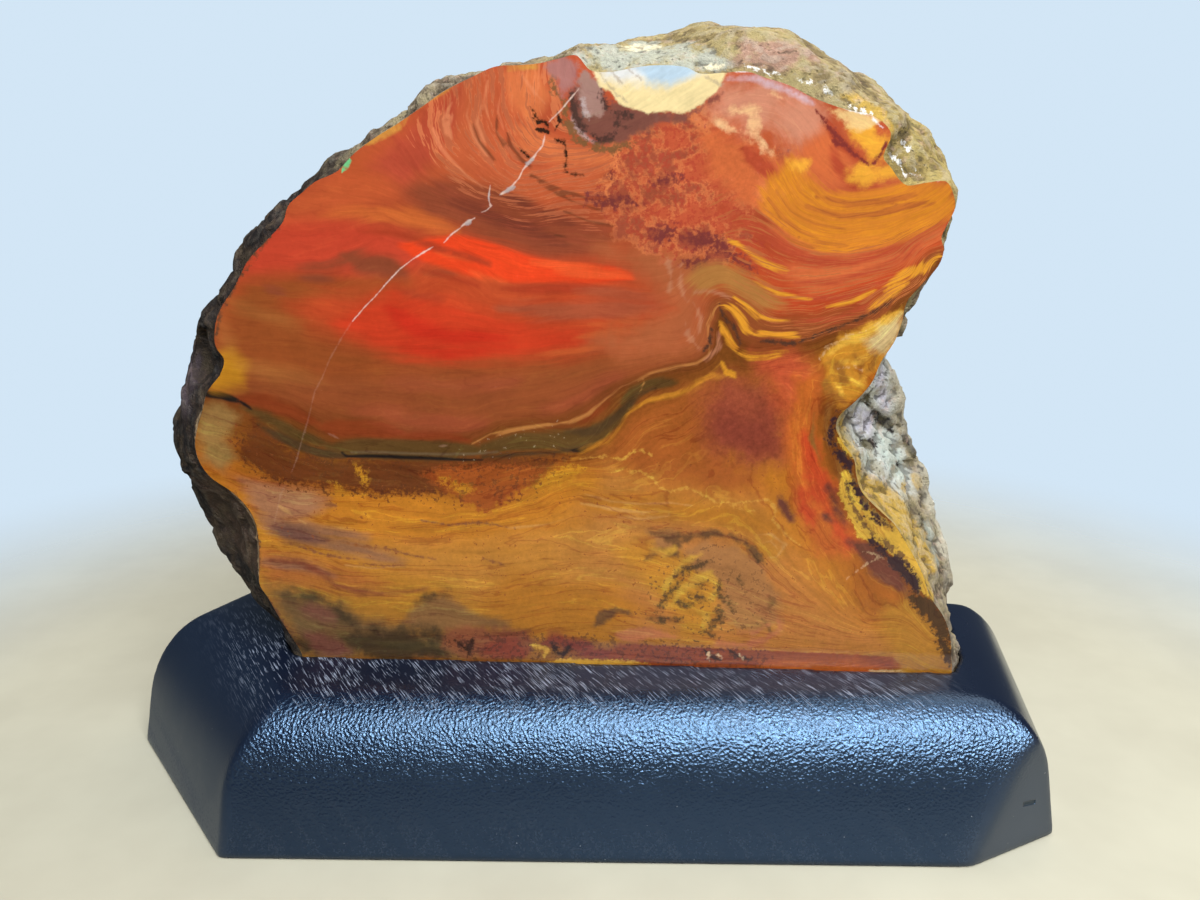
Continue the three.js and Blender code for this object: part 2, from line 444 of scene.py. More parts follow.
# Where the natural skin stands out furthest behind the face, in the same order: x,z,depth,
# swell. Between the face and there the skin is rounded at a swell of 1, straight at 0, and hollow
# below that.
GIRTH_OUTLINE = """
    -92,24,14,0.6 -103,45,15,0.5 -113.5,58,15,0.2 -122.5,73.5,16,0.1 -129,90,16,0.4 -125,111,15,0.6
    -118,129,14,0.5 -106,149,14,0.7 -90,165.5,12,0.8 -69.5,180,10,0.9 -54,190,9,0.9 -34,198.5,8,0.9
    -15,202,12,0.8 -4,204.6,16,0.7 7,207,20,0.6 21,209.8,22,0.7 34,210.4,23,0.8 44.5,207.6,23,0.9
    59.5,199,23,0.9 72.5,191,22,0.9 81,182.5,20,0.8 85.8,171,14,0.6 81.8,157,9,0.6 81,150,8,0.6
    78.5,143,9,0.4 72.6,135,10,0.1 72,124,15,-0.1 78.5,114,22,-0.3 85.5,99.5,28,-0.3 93.5,82,32,-0.2
    98,67,33,0.1 101.5,47,32,0.3 102.5,36,30,0.4 103,22,29,0.4
"""

# Flakes and hollows where the skin has broken away, each the mark of a ball: x,depth,z,radius.
BREAKS = """
    -116,3,126,8 -120.5,-5,73,18 -60,22,200,11 87,2,132,9 83,8,108,12 84,14,92,8 88,4,78,8 62,130,170,92
    -58,156,150,115 -30,128,70,86 58,120,92,80
"""

# Broad waves of the skin and of the back: wavelength in x, in depth and in z, phase, height.
SKIN_WAVES = "46,60,38,0.4,0.9 -31,40,44,2.1,0.8 23,-34,29,4,0.6 18,26,-21,1.3,0.4"
BACK_WAVES = "95,200,70,0.9,1.5 -60,200,85,2.6,1.2 52,200,-48,4.4,0.7"


class RoundOutline:
    """An outline round the stone's centre, with values along it."""

    def __init__(self, outline: str) -> None:
        """Sorts the outline's knots by their angle.

        Args:
            outline: Rows of x, z and further values.
        """
        knots = knots_in(outline)
        angles, radii = polar(knots)
        order = np.argsort(angles)
        self.angles = angles[order]
        self.values = np.column_stack([radii, knots[:, 2:]])[order]

    def at(self, angle: Array) -> Array:
        """The outline's values at angles, on a smooth curve through its knots.

        Args:
            angle: Angles from -pi to pi.

        Returns:
            For each angle the radius and the further values.
        """
        knots = np.concatenate([self.angles[-2:] - math.tau, self.angles, self.angles[:2] + math.tau])
        values = np.concatenate([self.values[-2:], self.values, self.values[:2]])
        i = np.clip(np.searchsorted(knots, angle, side="right") - 1, 1, len(knots) - 3)
        span = (knots[i + 1] - knots[i])[..., None]
        t = (angle - knots[i])[..., None] / span
        slope_from = (values[i + 1] - values[i - 1]) / (knots[i + 1] - knots[i - 1])[..., None] * span
        slope_to = (values[i + 2] - values[i]) / (knots[i + 2] - knots[i])[..., None] * span
        return (
            (2 * t**3 - 3 * t**2 + 1) * values[i]
            + (t**3 - 2 * t**2 + t) * slope_from
            + (3 * t**2 - 2 * t**3) * values[i + 1]
            + (t**3 - t**2) * slope_to
        )


def waves(table: str, points: Array) -> Array:
    """How far a set of waves stands proud.

    Args:
        table: Rows of wavelengths in x, depth and z, a phase and a height.
        points: Places in the stone's frame, as x, depth, z.

    Returns:
        One height for each place.
    """
    total = np.zeros(len(points))
    for wave_x, wave_depth, wave_z, phase, height in knots_in(table):
        turn = points[:, 0] / wave_x + points[:, 1] / wave_depth + points[:, 2] / wave_z
        total += height * np.sin(math.tau * turn + phase)
    return total


def break_away(points: Array, share: float = 1.0) -> Array:
    """Presses points out of every ball that has broken the skin.

    Args:
        points: Places in the stone's frame.
        share: How much of the way they are pressed.

    Returns:
        The new places.
    """
    out = points.copy()
    for *ball, radius in knots_in(BREAKS):
        away = out - ball
        distance = np.linalg.norm(away, axis=1)[:, None]
        pressed = ball + away * (radius / np.maximum(distance, 1e-6))
        out = np.where(distance < radius, out + (pressed - out) * share, out)
    return out


def polar(points: Array) -> tuple[Array, Array]:
    """The angles and radii of places on the face, given as (x, z), round the stone's centre."""
    dx, dz = points[:, 0] - STONE_CENTRE[0], points[:, 1] - STONE_CENTRE[1]
    return np.arctan2(dz, dx), np.hypot(dx, dz)


def stone_points(angle: Array, radius: Array, depth: Array) -> Array:
    """Places at angles, radii and depths round the stone's centre."""
    x, z = STONE_CENTRE[0] + radius * np.cos(angle), STONE_CENTRE[1] + radius * np.sin(angle)
    return np.column_stack([x, depth, z])


@dataclass(frozen=True)
class Relief:
    """How rough one stretch of the natural skin is.

    Attributes:
        middle: The angle of the stretch's middle, in degrees from the right, anticlockwise.
        reach: How far it goes to each side, in degrees.
        facets: The height of its flat chips, in mm.
        chip: The size of those chips, in mm.
        grit: The height of its fine grain, in mm.
        pits: The depth of its pits, in mm.
    """

    middle: float
    reach: float
    facets: float
    chip: float
    grit: float
    pits: float

    FADE = 9.0  # degrees over which each stretch fades, inside its end and beyond it

    def share(self, angle: Array) -> Array:
        """How much of this stretch there is at angles in degrees."""
        away = np.abs((angle - self.middle + 180.0) % 360.0 - 180.0)
        return np.clip((self.reach + self.FADE - away) / (2.0 * self.FADE), 0.0, 1.0)


RELIEFS = {
    "dark left end": Relief(178, 47, 1.1, 7.0, 0.25, 0.2),
    "tan top left": Relief(112, 19, 0.6, 3.2, 0.55, 0.7),
    "crown": Relief(72, 21, 0.3, 5.0, 0.40, 0.4),
    "gold shoulder": Relief(38, 13, 0.35, 3.5, 0.50, 0.7),
    "right hollow": Relief(-8, 33, 1.2, 6.0, 0.45, 1.1),
    "foot": Relief(-85, 44, 0.3, 5.0, 0.15, 0.0),
}


@dataclass
class StoneShape:
    """The slab as a closed mesh: a flat face, a rough skin round it, and a sawn, weathered back.

    Attributes:
        around: Points round each ring.
        skin_rings: Rings from the face's edge to where the skin stands out furthest.
        flank_rings: Rings from there to the back's rim.
        face_step: The spacing of the face's points, in mm.
        back_step: The spacing of the back's points, in mm.
        back_share: The back's rim, as a share of the girth's radius.
        back_depth: The depth of the back's rim at the foot and at the crown.
        back_swell: How far the back swells behind its rim.
        face_edge: The edge of the face.
        girth: Where the skin stands out furthest.
    """

    around: int = 720
    skin_rings: int = 26
    flank_rings: int = 15
    face_step: float = 0.9
    back_step: float = 1.9
    back_share: float = 0.86
    back_depth: tuple[float, float] = (38.0, 43.0)
    back_swell: float = 7.0
    face_edge: RoundOutline = field(default_factory=lambda: RoundOutline(FACE_OUTLINE))
    girth: RoundOutline = field(default_factory=lambda: RoundOutline(GIRTH_OUTLINE))

    def rings(self) -> Array:
        """Builds the rings of the skin and the flank.

        Returns:
            Places in the stone's frame, as ring by angle by (x, depth, z).
        """
        angle = np.linspace(-math.pi, math.pi, self.around, endpoint=False)
        face_radius = self.face_edge.at(angle)[:, 0]
        girth_radius, girth_depth, swell = self.girth.at(angle).T
        rim_radius = self.back_share * girth_radius
        rim_depth = self._rim_depth(np.sin(angle))
        rings = [stone_points(angle, face_radius, np.zeros_like(angle))]
        for k in range(1, self.skin_rings + 1):
            t = k / self.skin_rings
            turn = t * math.pi / 2.0
            out = t + swell * (math.sin(turn) - t)
            back = t + swell * (1.0 - math.cos(turn) - t)
            radius = face_radius + (girth_radius - face_radius) * out
            rings.append(self._skin(angle, radius, girth_depth * back, min(1.0, 2.0 * t)))
        for k in range(1, self.flank_rings + 1):
            turn = k / self.flank_rings * math.pi / 2.0
            radius = girth_radius + (rim_radius - girth_radius) * (1.0 - math.cos(turn))
            depth = girth_depth + (rim_depth - girth_depth) * math.sin(turn)
            rings.append(self._skin(angle, radius, depth, 1.0))
        return np.stack(rings)

    def _rim_depth(self, height: Array) -> Array:
        """The depth of the back at heights from -1 at the foot to 1 at the crown, before it swells."""
        foot, crown = self.back_depth
        return foot + (crown - foot) * (1.0 + height) / 2.0

    @staticmethod
    def _skin(angle: Array, radius: Array, depth: Array, share: float) -> Array:
        """One ring, with its waves and breaks.

        Args:
            angle: The angles of its points.
            radius: Their distances from the stone's centre.
            depth: Their depths.
            share: How much of the waves and breaks it has.

        Returns:
            Its places.
        """
        flat = stone_points(angle, radius, depth)
        lump = share * (waves(SKIN_WAVES, flat) - 0.3)
        return break_away(stone_points(angle, radius + lump, depth), share)

    def roughen(self, rings: Array) -> Array:
        """Gives the skin its chips, grain and pits.

        Args:
            rings: The smooth rings.

        Returns:
            The rough rings.
        """
        along = np.roll(rings, -1, axis=1) - np.roll(rings, 1, axis=1)
        across = np.gradient(rings, axis=0)
        normals = np.cross(across, along)
        normals /= np.maximum(np.linalg.norm(normals, axis=2, keepdims=True), 1e-9)
        points = rings.reshape(-1, 3)
        angle = np.degrees(polar(points[:, [0, 2]])[0])
        warped = points + np.stack([Grit(s).fractal(points, 9.0, 3) for s in (31, 32, 33)], axis=1) * 2.2
        grain = Grit(5).fractal(points, 3.2, 3, 0.6)
        rough = Grit(6).fractal(points, 1.7, 2, 0.7)
        hollow = np.clip(Grit(8).fractal(warped, 3.6, 2) - 0.25, 0.0, 0.6) / 0.6
        height = np.zeros(len(points))
        tilt, crevice = 0.35, 0.35
        for relief in RELIEFS.values():
            share = relief.share(angle)
            used = share > 0.0
            chips, border = Grit(11).chips(warped[used], relief.chip, tilt)
            facet = relief.facets * (chips / (tilt * relief.chip) - crevice * np.exp(-border * 9.0))
            own = facet + relief.grit * (grain[used] + 0.6 * rough[used]) - relief.pits * hollow[used]
            height[used] += share[used] * own
        rise = np.clip(np.arange(len(rings)) / 3.0, 0.0, 1.0)[:, None]
        height = height.reshape(rings.shape[:2]) * rise - 0.5 * rise
        return rings + normals * height[:, :, None]

    @staticmethod
    def saw_foot(points: Array) -> Array:
        """Cuts the foot level, by drawing what is below it towards the centre.

        Args:
            points: Places in the stone's frame.

        Returns:
            The new places.
        """
        out = points.copy()
        low = out[..., 2] < FOOT_LEVEL
        share = (STONE_CENTRE[1] - FOOT_LEVEL) / np.maximum(STONE_CENTRE[1] - out[..., 2], 1e-6)
        out[..., 0] = np.where(low, STONE_CENTRE[0] + (out[..., 0] - STONE_CENTRE[0]) * share, out[..., 0])
        out[..., 2] = np.where(low, FOOT_LEVEL, out[..., 2])
        return out

    @staticmethod
    def _fill(rim: Array, step: float, extra: Array) -> tuple[Array, Array]:
        """Fills a flat outline with an even net of triangles.

        Args:
            rim: The outline, as (x, z), anticlockwise.
            step: The spacing of the net.
            extra: Further points that the net has to pass through.

        Returns:
            The inner points, and triangles that count the rim's points first.
        """
        low, high = rim.min(axis=0), rim.max(axis=0)
        rows = np.arange(low[1], high[1], step * math.sqrt(0.75))
        columns = np.arange(low[0], high[0], step)
        grid = np.array([(x + (j % 2) * step / 2.0, z) for j, z in enumerate(rows) for x in columns])
        if len(extra):
            cells = {(round(x / step), round(z / step)) for x, z in extra}
            keep = [(round(x / step), round(z / step)) not in cells for x, z in grid]
            grid = np.concatenate([grid[np.array(keep)], extra])
        from_centre = polar(rim)
        angle, radius = polar(grid)
        inner = grid[radius < np.interp(angle, *from_centre, period=math.tau) - 0.7 * step]
        every = [Vector(point) for point in np.concatenate([rim, inner]).tolist()]
        outline = [list(range(len(rim)))]
        _, _, faces, origins, _, owners = delaunay_2d_cdt(every, [], outline, 1, 1e-5, True)
        first = [origin[0] for origin in origins]
        inside = [face for face, owner in zip(faces, owners) if owner]
        triangles = np.array([[first[i] for i in face] for face in inside], dtype=np.int64)
        return inner, triangles

    def build(self, fine: Array) -> tuple[Array, Array, Array]:
        """Builds the closed mesh.

        Args:
            fine: Points of the face's thinnest marks, as (x, z).

        Returns:
            The places in the stone's frame, the triangles, and which triangles are the polished face.
        """
        rings = self.saw_foot(self.roughen(self.rings()))
        count, around = rings.shape[:2]
        k, i = np.meshgrid(np.arange(count - 1), np.arange(around), indexing="ij")
        a, b = k * around + i, k * around + (i + 1) % around
        c, d = a + around, b + around
        skin = np.stack([a, c, b, b, c, d], axis=-1).reshape(-1, 3)
        inner, face = self._fill(rings[0][:, [0, 2]], self.face_step, fine)
        front = np.insert(inner, 1, 0.0, axis=1)
        rim = rings[-1]
        back_inner, back = self._fill(rim[:, [0, 2]], self.back_step, np.empty((0, 2)))
        behind = self._back(back_inner, rim)
        start = count * around
        face = np.where(face >= around, face - around + start, face)
        last = (count - 1) * around
        back = np.where(back >= around, back - around + start + len(front), back + last)[:, ::-1]
        points = np.concatenate([rings.reshape(-1, 3), front, behind])
        triangles = np.concatenate([skin, face, back])
        polished = np.zeros(len(triangles), dtype=bool)
        polished[len(skin) : len(skin) + len(face)] = True
        return points, triangles, polished

    def _back(self, inner: Array, rim: Array) -> Array:
        """Lifts the back's inner points to its swollen, chipped surface.

        Args:
            inner: The points, as (x, z).
            rim: The back's rim.

        Returns:
            Their places.
        """
        angle, radius = polar(inner)
        rim_angle, rim_radius = polar(rim[:, [0, 2]])
        depth = np.interp(angle, rim_angle, rim[:, 1], period=math.tau)
        t = np.clip(1.0 - radius / np.interp(angle, rim_angle, rim_radius, period=math.tau), 0.0, 1.0)
        depth += (self._rim_depth(np.sin(angle) * (1.0 - t)) - depth) * np.clip(t * 7.0, 0.0, 1.0)
        flat = np.insert(inner, 1, 0.0, axis=1)
        swollen = depth + self.back_swell * np.sin(t * math.pi / 2.0) + t * waves(BACK_WAVES, flat)
        points = break_away(np.insert(inner, 1, swollen, axis=1))
        chips, border = Grit(17).chips(points, 13.0, 0.3)
        rough = 0.22 * chips + 0.5 * Grit(18).fractal(points, 6.0, 3, 0.6) - 0.5 * np.exp(-border * 8.0)
        points[:, 1] += np.clip(t * 9.0, 0.0, 1.0) * (rough - 0.5)
        return points

    @staticmethod
    def seat(points: Array) -> Array:
        """Turns and moves points to where the stone stands.

        Args:
            points: Places in the stone's frame.

        Returns:
            Places in the object's frame, in metres.
        """
        turn_cos, turn_sin = math.cos(STONE_TURN), math.sin(STONE_TURN)
        x, depth, z = points.T
        across = STONE_AT[0] + x * turn_cos - depth * turn_sin
        back = STONE_AT[1] + x * turn_sin + depth * turn_cos
        return MM * np.column_stack([across, back, z])


# ---- The stand's shape ------------


@dataclass(frozen=True)
class StandSide:
    """One side of the stand, seen from above, and its profile upwards.

    Attributes:
        start: The corner that the side starts from; it runs to the next side's corner.
        lean: How far inwards the wall leans at the shoulder.
        shoulder: The height at which the round shoulder starts, or None for an upright wall.
        top: How far inwards the shoulder reaches at the top.
        brow: How steeply the shoulder still falls there, which leaves an arris.
    """

    start: Point2
    lean: float = 0.0
    shoulder: float | None = None
    top: float = 0.0
    brow: float = 0.0


STAND_SIDES = (
    StandSide((-140, 7), 3.2, 15, 22, 0.58),
    StandSide((-94, -48), 6, 24, 18, 0.4),
    StandSide((101, -48)),
    StandSide((128.5, -34), 4, 20, 26),
    StandSide((140, 25), 2, 22, 14),
    StandSide((127, 39), 3, 22, 13),
    StandSide((-119, 48), 0.5, 18, 19),
)
STAND_HEIGHT = 40.0


@dataclass
class StandShape:
    """The stand as a fine mesh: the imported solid's own form, with true curves and softened edges.

    Attributes:
        voxel: The size of the net's faces, in mm.
        edge: How round the edges are, in mm.
        curve_steps: Points along each shoulder's curve.
    """

    voxel: float = 1.15
    edge: float = 0.9
    curve_steps: int = 48

    def _profile(self, side: StandSide, height: Array) -> tuple[Array, Array]:
        """How far inwards a side's wall is at heights, and its slope there.

        Args:
            side: The side.
            height: The heights.

        Returns:
            The insets, and the slopes of inset by height.
        """
        if side.shoulder is None:
            return np.zeros_like(height), np.zeros_like(height)
        t = np.linspace(0.0, 1.0, self.curve_steps)
        wall = side.lean / side.shoulder
        bend = (STAND_HEIGHT - side.top * side.brow) / (1.0 - wall * side.brow)
        inset = (1 - t) ** 2 * side.lean + 2 * t * (1 - t) * wall * bend + t**2 * side.top
        level = (1 - t) ** 2 * side.shoulder + 2 * t * (1 - t) * bend + t**2 * STAND_HEIGHT
        level, inset = np.concatenate([[-1.0], level]), np.concatenate([[-wall], inset])
        slope = np.gradient(inset, level)
        return np.interp(height, level, inset), np.interp(height, level, slope)

    def _walls(self, points: Array) -> Array:
        """How far places are outside each of the block's surfaces.

        Args:
            points: Places in mm.

        Returns:
            A row for the top, one for the underside and one for each side.
        """
        height = np.clip(points[:, 2], 0.0, STAND_HEIGHT)
        walls = [points[:, 2] - STAND_HEIGHT, -points[:, 2]]
        for side, following in zip(STAND_SIDES, STAND_SIDES[1:] + STAND_SIDES[:1]):
            run = np.array(following.start, dtype=float) - np.array(side.start, dtype=float)
            inward = np.array([-run[1], run[0]]) / np.linalg.norm(run)
            inset, slope = self._profile(side, height)
            depth = (points[:, :2] - np.array(side.start)) @ inward
            walls.append((inset - depth) / np.sqrt(1.0 + slope**2))
        return np.stack(walls)

    def parts(self, mesh: Mesh) -> dict[str, Array]:
        """Which side each of the mesh's points belongs to.

        Args:
            mesh: The stand's mesh.

        Returns:
            The share of each named part, for each point.
        """
        points = read(mesh.vertices, "co", 3) / MM
        walls = self._walls(points)
        share = np.exp((walls - walls.max(axis=0)) / 1.2)
        share /= share.sum(axis=0)
        top, _, left, front, sawn, *_, back_left = share
        shoulder = share[2:].sum(axis=0) * np.clip((points[:, 2] - 30.0) / 8.0, 0.0, 1.0)
        return {"top": top, "left": left + back_left, "front": front, "sawn": sawn, "shoulder": shoulder}

    def distance(self, points: Array) -> Array:
        """How far places are outside the block, below 0 inside it.

        Args:
            points: Places in mm.

        Returns:
            One distance for each place, with the block's edges rounded.
        """
        walls = self._walls(points)
        outermost = walls.max(axis=0)
        blend = self.edge * 0.45
        return outermost + blend * np.log(np.exp((walls - outermost) / blend).sum(axis=0))

    def project(self, points: Array) -> Array:
        """Draws places onto the block's surface.

        Args:
            points: Places near the surface, in mm.

        Returns:
            Places on it.
        """
        out = points.copy()
        step = 0.05
        for _ in range(4):
            here = self.distance(out)
            slope = np.stack(
                [(self.distance(out + step * axis) - here) / step for axis in np.eye(3)], axis=1
            )
            slope /= np.maximum(np.linalg.norm(slope, axis=1, keepdims=True), 1e-6) ** 2
            out -= np.clip(here, -1.5, 1.5)[:, None] * slope
        return out

    def build(self, packed: bpy.types.Object) -> Mesh:
        """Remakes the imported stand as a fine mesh.

        Args:
            packed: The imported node.

        Returns:
            The mesh, in metres.
        """
        work = hang("stand_work", packed.data.copy())
        remesh = work.modifiers.new("net", "REMESH")
        remesh.mode = "VOXEL"
        remesh.voxel_size = self.voxel * MM
        graph = bpy.context.evaluated_depsgraph_get()
        mesh = bpy.data.meshes.new_from_object(work.evaluated_get(graph))
        bpy.data.objects.remove(work)
        points = read(mesh.vertices, "co", 3) / MM
        outer = self.distance(points) > -self.voxel
        points[outer] = self.project(points[outer])
        mesh.vertices.foreach_set("co", (points * MM).ravel())
        return mesh


# ---- Paint ------------

DEEPEST = 12.0  # mm, the most that a mark's depth counts


class Grain(Enum):
    """The noise that makes a mark's edge ragged."""

    STREAK = "streak"
    WISP = "wisp"
    BLOT = "blot"
    GRIT = "grit"


STREAK, WISP, BLOT, GRIT = Grain  # short names for the tables of marks


@dataclass(frozen=True)
class Mark:
    """One pigment and where it lies on the stone.

    Attributes:
        name: What it is, used for its attribute.
        colour: The pigment.
        soft: Half the width of its edge, in mm.
        ragged: How far the noise moves its edge, in mm.
        grain: The noise.
        shape: Brush lines, each "half-width: x,z x,z ...", which taper at both ends, and closed outlines,
            each "x,z x,z ...", with | between them.
        cap: The most that its depth counts. Below 0, the mark only shows where the noise is high.
        strength: How much it covers.
    """

    name: str
    colour: Colour
    soft: float
    ragged: float
    grain: Grain
    shape: str
    cap: float = DEEPEST
    strength: float = 1.0

    def depth(self, points: Array) -> Array:
        """How deep inside the mark places are, below 0 outside it.

        Args:
            points: Places as (x, z).

        Returns:
            One depth in mm for each place, at most DEEPEST either way.
        """
        best = np.full(len(points), -DEEPEST)
        for half_width, knots in parts_in(self.shape):
            if half_width is not None:
                lengths = np.linalg.norm(np.diff(knots, axis=0), axis=1)
                ways = np.concatenate([[0.0], np.cumsum(lengths)]) / lengths.sum()
                for start, end, first, last in zip(knots[:-1], knots[1:], ways[:-1], ways[1:]):
                    near, t = nearest_on(points, start, end)
                    way = first + (last - first) * t
                    taper = np.clip(1.15 * np.sin(math.pi * way) ** 0.5, 0.35, 1.0)
                    best = np.maximum(best, half_width * taper - near)
                continue
            near = np.full(len(points), np.inf)
            inside = np.zeros(len(points), dtype=bool)
            for start, end in zip(knots, np.roll(knots, -1, axis=0)):
                near = np.minimum(near, nearest_on(points, start, end)[0])
                crosses = (start[1] > points[:, 1]) != (end[1] > points[:, 1])
                rise = end[1] - start[1] if end[1] != start[1] else 1e-9
                at = start[0] + (points[:, 1] - start[1]) * (end[0] - start[0]) / rise
                inside ^= crosses & (points[:, 0] < at)
            best = np.maximum(best, np.where(inside, near, -near))
        return np.clip(best, -DEEPEST, min(DEEPEST, self.cap))

    @property
    def sway(self) -> float:
        """How much of the marks' common wandering it follows."""
        return min(1.2, 0.6 * self.soft)

    def hairlines(self, widest: float = 0.7, step: float = 0.5) -> Array:
        """Points along the middles of the mark's thin strokes, where the mesh needs points.

        Args:
            widest: The half-width, in mm, of the widest stroke that counts as thin.
            step: The points' spacing in mm.

        Returns:
            The points as (x, z).
        """
        points = [np.empty((0, 2))]
        for half_width, knots in parts_in(self.shape):
            thin = half_width is not None and half_width <= widest
            for start, end in zip(knots[:-1], knots[1:]) if thin else ():
                count = max(1, round(float(np.linalg.norm(end - start)) / step))
                points.append(start + (end - start) * (np.arange(count) / count)[:, None])
        return np.concatenate(points)


def nearest_on(points: Array, start: Array, end: Array) -> tuple[Array, Array]:
    """Finds the nearest points on a straight line.

    Args:
        points: Places as (x, z).
        start: The line's start.
        end: Its end.

    Returns:
        How far each place is from the line, and how far along it its nearest point is, from 0 to 1.
    """
    run = end - start
    t = np.clip((points - start) @ run / max(run @ run, 1e-9), 0.0, 1.0)
    return np.linalg.norm(points - start - t[:, None] * run, axis=1), t


# Guides of the field of bands: a level, and a line along which the field has it. Level 0 is the
# upper edge of the dark seam; levels rise above it and fall below it, in about a mm for each mm.
BAND_GUIDES = """
    0: -114,117 -100,113.5 -90,111.5 -80,107 -70,105 -55,104 -40,103.5 |
    0: -33,107 -22,109 -12,110 -8,113 0,119 8,123 15,125 21,126 |
    0: 24,130 23.5,135 25,139.5 26,137 29,132 38,130 45,131 55,134 |
    0: 70,142 78,152 |
    20: -105,128 -80,126 -60,125 -45,125 -15,127 5,128.5 15,130 |
    20: 20,133 22,138 25,143 30,142 38,137 50,137 62,140 79,154 |
    30: -104,139 -85,136 -60,133 -20,133.5 0,134.5 12,135.5 18,139 |
    30: 22,145 27,147 35,143 45,141 60,144 72,149 80,157 |
    45: -97,150 -80,149 -55,150 -30,146 3,145.5 14,147 22,152 |
    45: 30,150 40,147 55,148 70,152 80,160 |
    52: -90,157 -60,160 -42,158 -30,154.5 -12,151 0,150 18,154 |
    52: 30,155 40,151 55,150.5 70,155 80,163 |
    62: -80,167 -65,166 -40,160 -25,157 0,155 22,158 32,160 |
    62: 38,158 45,154.5 55,153 65,155 80,164 |
    72: -66,176 -50,167 -25,160 0,160.5 24,165 33,168 38,163 |
    72: 45,158 55,156 66,158 78,164 |
    82: -55,183 -50,176 -44,170 -35,166 -24,164 0,168 24,173 |
    82: 33,176 37,171 42,164 50,160.5 60,161 79,168 |
    90: -45,189 -44.3,179.4 -41.3,175.7 -35.5,171.3 -25,168 -14,170 |
    90: 0,173 25,180 35,182 40,175 46,168 53,164 75,170 |
    98: -37,191 -36,183 -31,176 -25,171 -15,173 8,180 |
    105: -30,196 -29,186 -26,180 -20,176 -3,178 8,183 |
    112: -22,197 -22,188 -18,181 -5,180 |
    -6: -100,108 -90,104 -80,100 -60,99 -35,99.5 -12,101 -3,106 |
    -6: 4,114 15,118.5 24,124 27,130 31,127 38,127 55,132.5 70,139 |
    -6: 79,148 57,113 56,106 60,98 64,90 72,78 84,64 90,55 |
    -13: -108,100 -85,92 -40,91 -12,98 6,108 22,117 40,124 |
    -13: 50,118 50,108 52,97 57,87 64,76 76,63 86,50 |
    -21: -105,88 -80,84 -40,84 -12,92 14,91 41,89 46,80 52,70 |
    -21: 60,62 70,54 |
    -32: -100,75 -70,71 -30,72 -10,74 |
    -45: -98,64 -75,60 -45,58 -10,62 |
    -60: -92,50 -50,47 0,47 80,46 |
    -66: -90,40 -40,40 20,40 90,40
"""


class BandField:
    """The level of the stone's bands over the face: a thin plate bent through the guides."""

    STIFFNESS = 4.0  # how far the plate may stay off its guides, for a smooth field

    def __init__(self) -> None:
        """Solves for the plate."""
        guides = parts_in(BAND_GUIDES)
        self.knots = knots = np.concatenate([line for _, line in guides])
        levels = np.concatenate([np.full(len(line), level) for level, line in guides])
        count = len(knots)
        flat = np.column_stack([np.ones(count), knots])
        matrix = np.zeros((count + 3, count + 3))
        matrix[:count, :count] = self._kernel(knots) + self.STIFFNESS * np.eye(count)
        matrix[:count, count:] = flat
        matrix[count:, :count] = flat.T
        self.weights = np.linalg.solve(matrix, np.concatenate([levels, np.zeros(3)]))

    def _kernel(self, points: Array) -> Array:
        """How strongly each knot bends the plate at places."""
        square = ((points[:, None, :] - self.knots[None, :, :]) ** 2).sum(axis=2)
        return 0.5 * square * np.log(square + 1e-9)

    def level(self, points: Array) -> Array:
        """The field's level.

        Args:
            points: Places as (x, z).

        Returns:
            One level for each place.
        """
        count = len(self.knots)
        parts = []
        for block in np.array_split(points, max(1, len(points) // 8000)):
            flat = np.column_stack([np.ones(len(block)), block])
            parts.append(self._kernel(block) @ self.weights[:count] + flat @ self.weights[count:])
        return np.concatenate(parts)


# The ground colours of the polished face, from the foot's level to the crown's: level,red,green,blue.
BAND_COLOURS = """
    -66,0.3,0.11,0.02 -58,0.36,0.14,0.016 -45,0.42,0.17,0.017 -32,0.5,0.19,0.018 -21,0.5,0.17,0.014
    -14,0.36,0.1,0.012 -7,0.2,0.06,0.01 0,0.17,0.045,0.01 5,0.25,0.06,0.016 14,0.26,0.064,0.017
    21,0.31,0.06,0.016 28,0.44,0.058,0.016 35,0.47,0.056,0.016 43,0.44,0.062,0.018 53,0.42,0.06,0.02
    64,0.36,0.06,0.02 74,0.36,0.066,0.024 84,0.44,0.08,0.026 96,0.5,0.1,0.034 112,0.47,0.08,0.028
"""

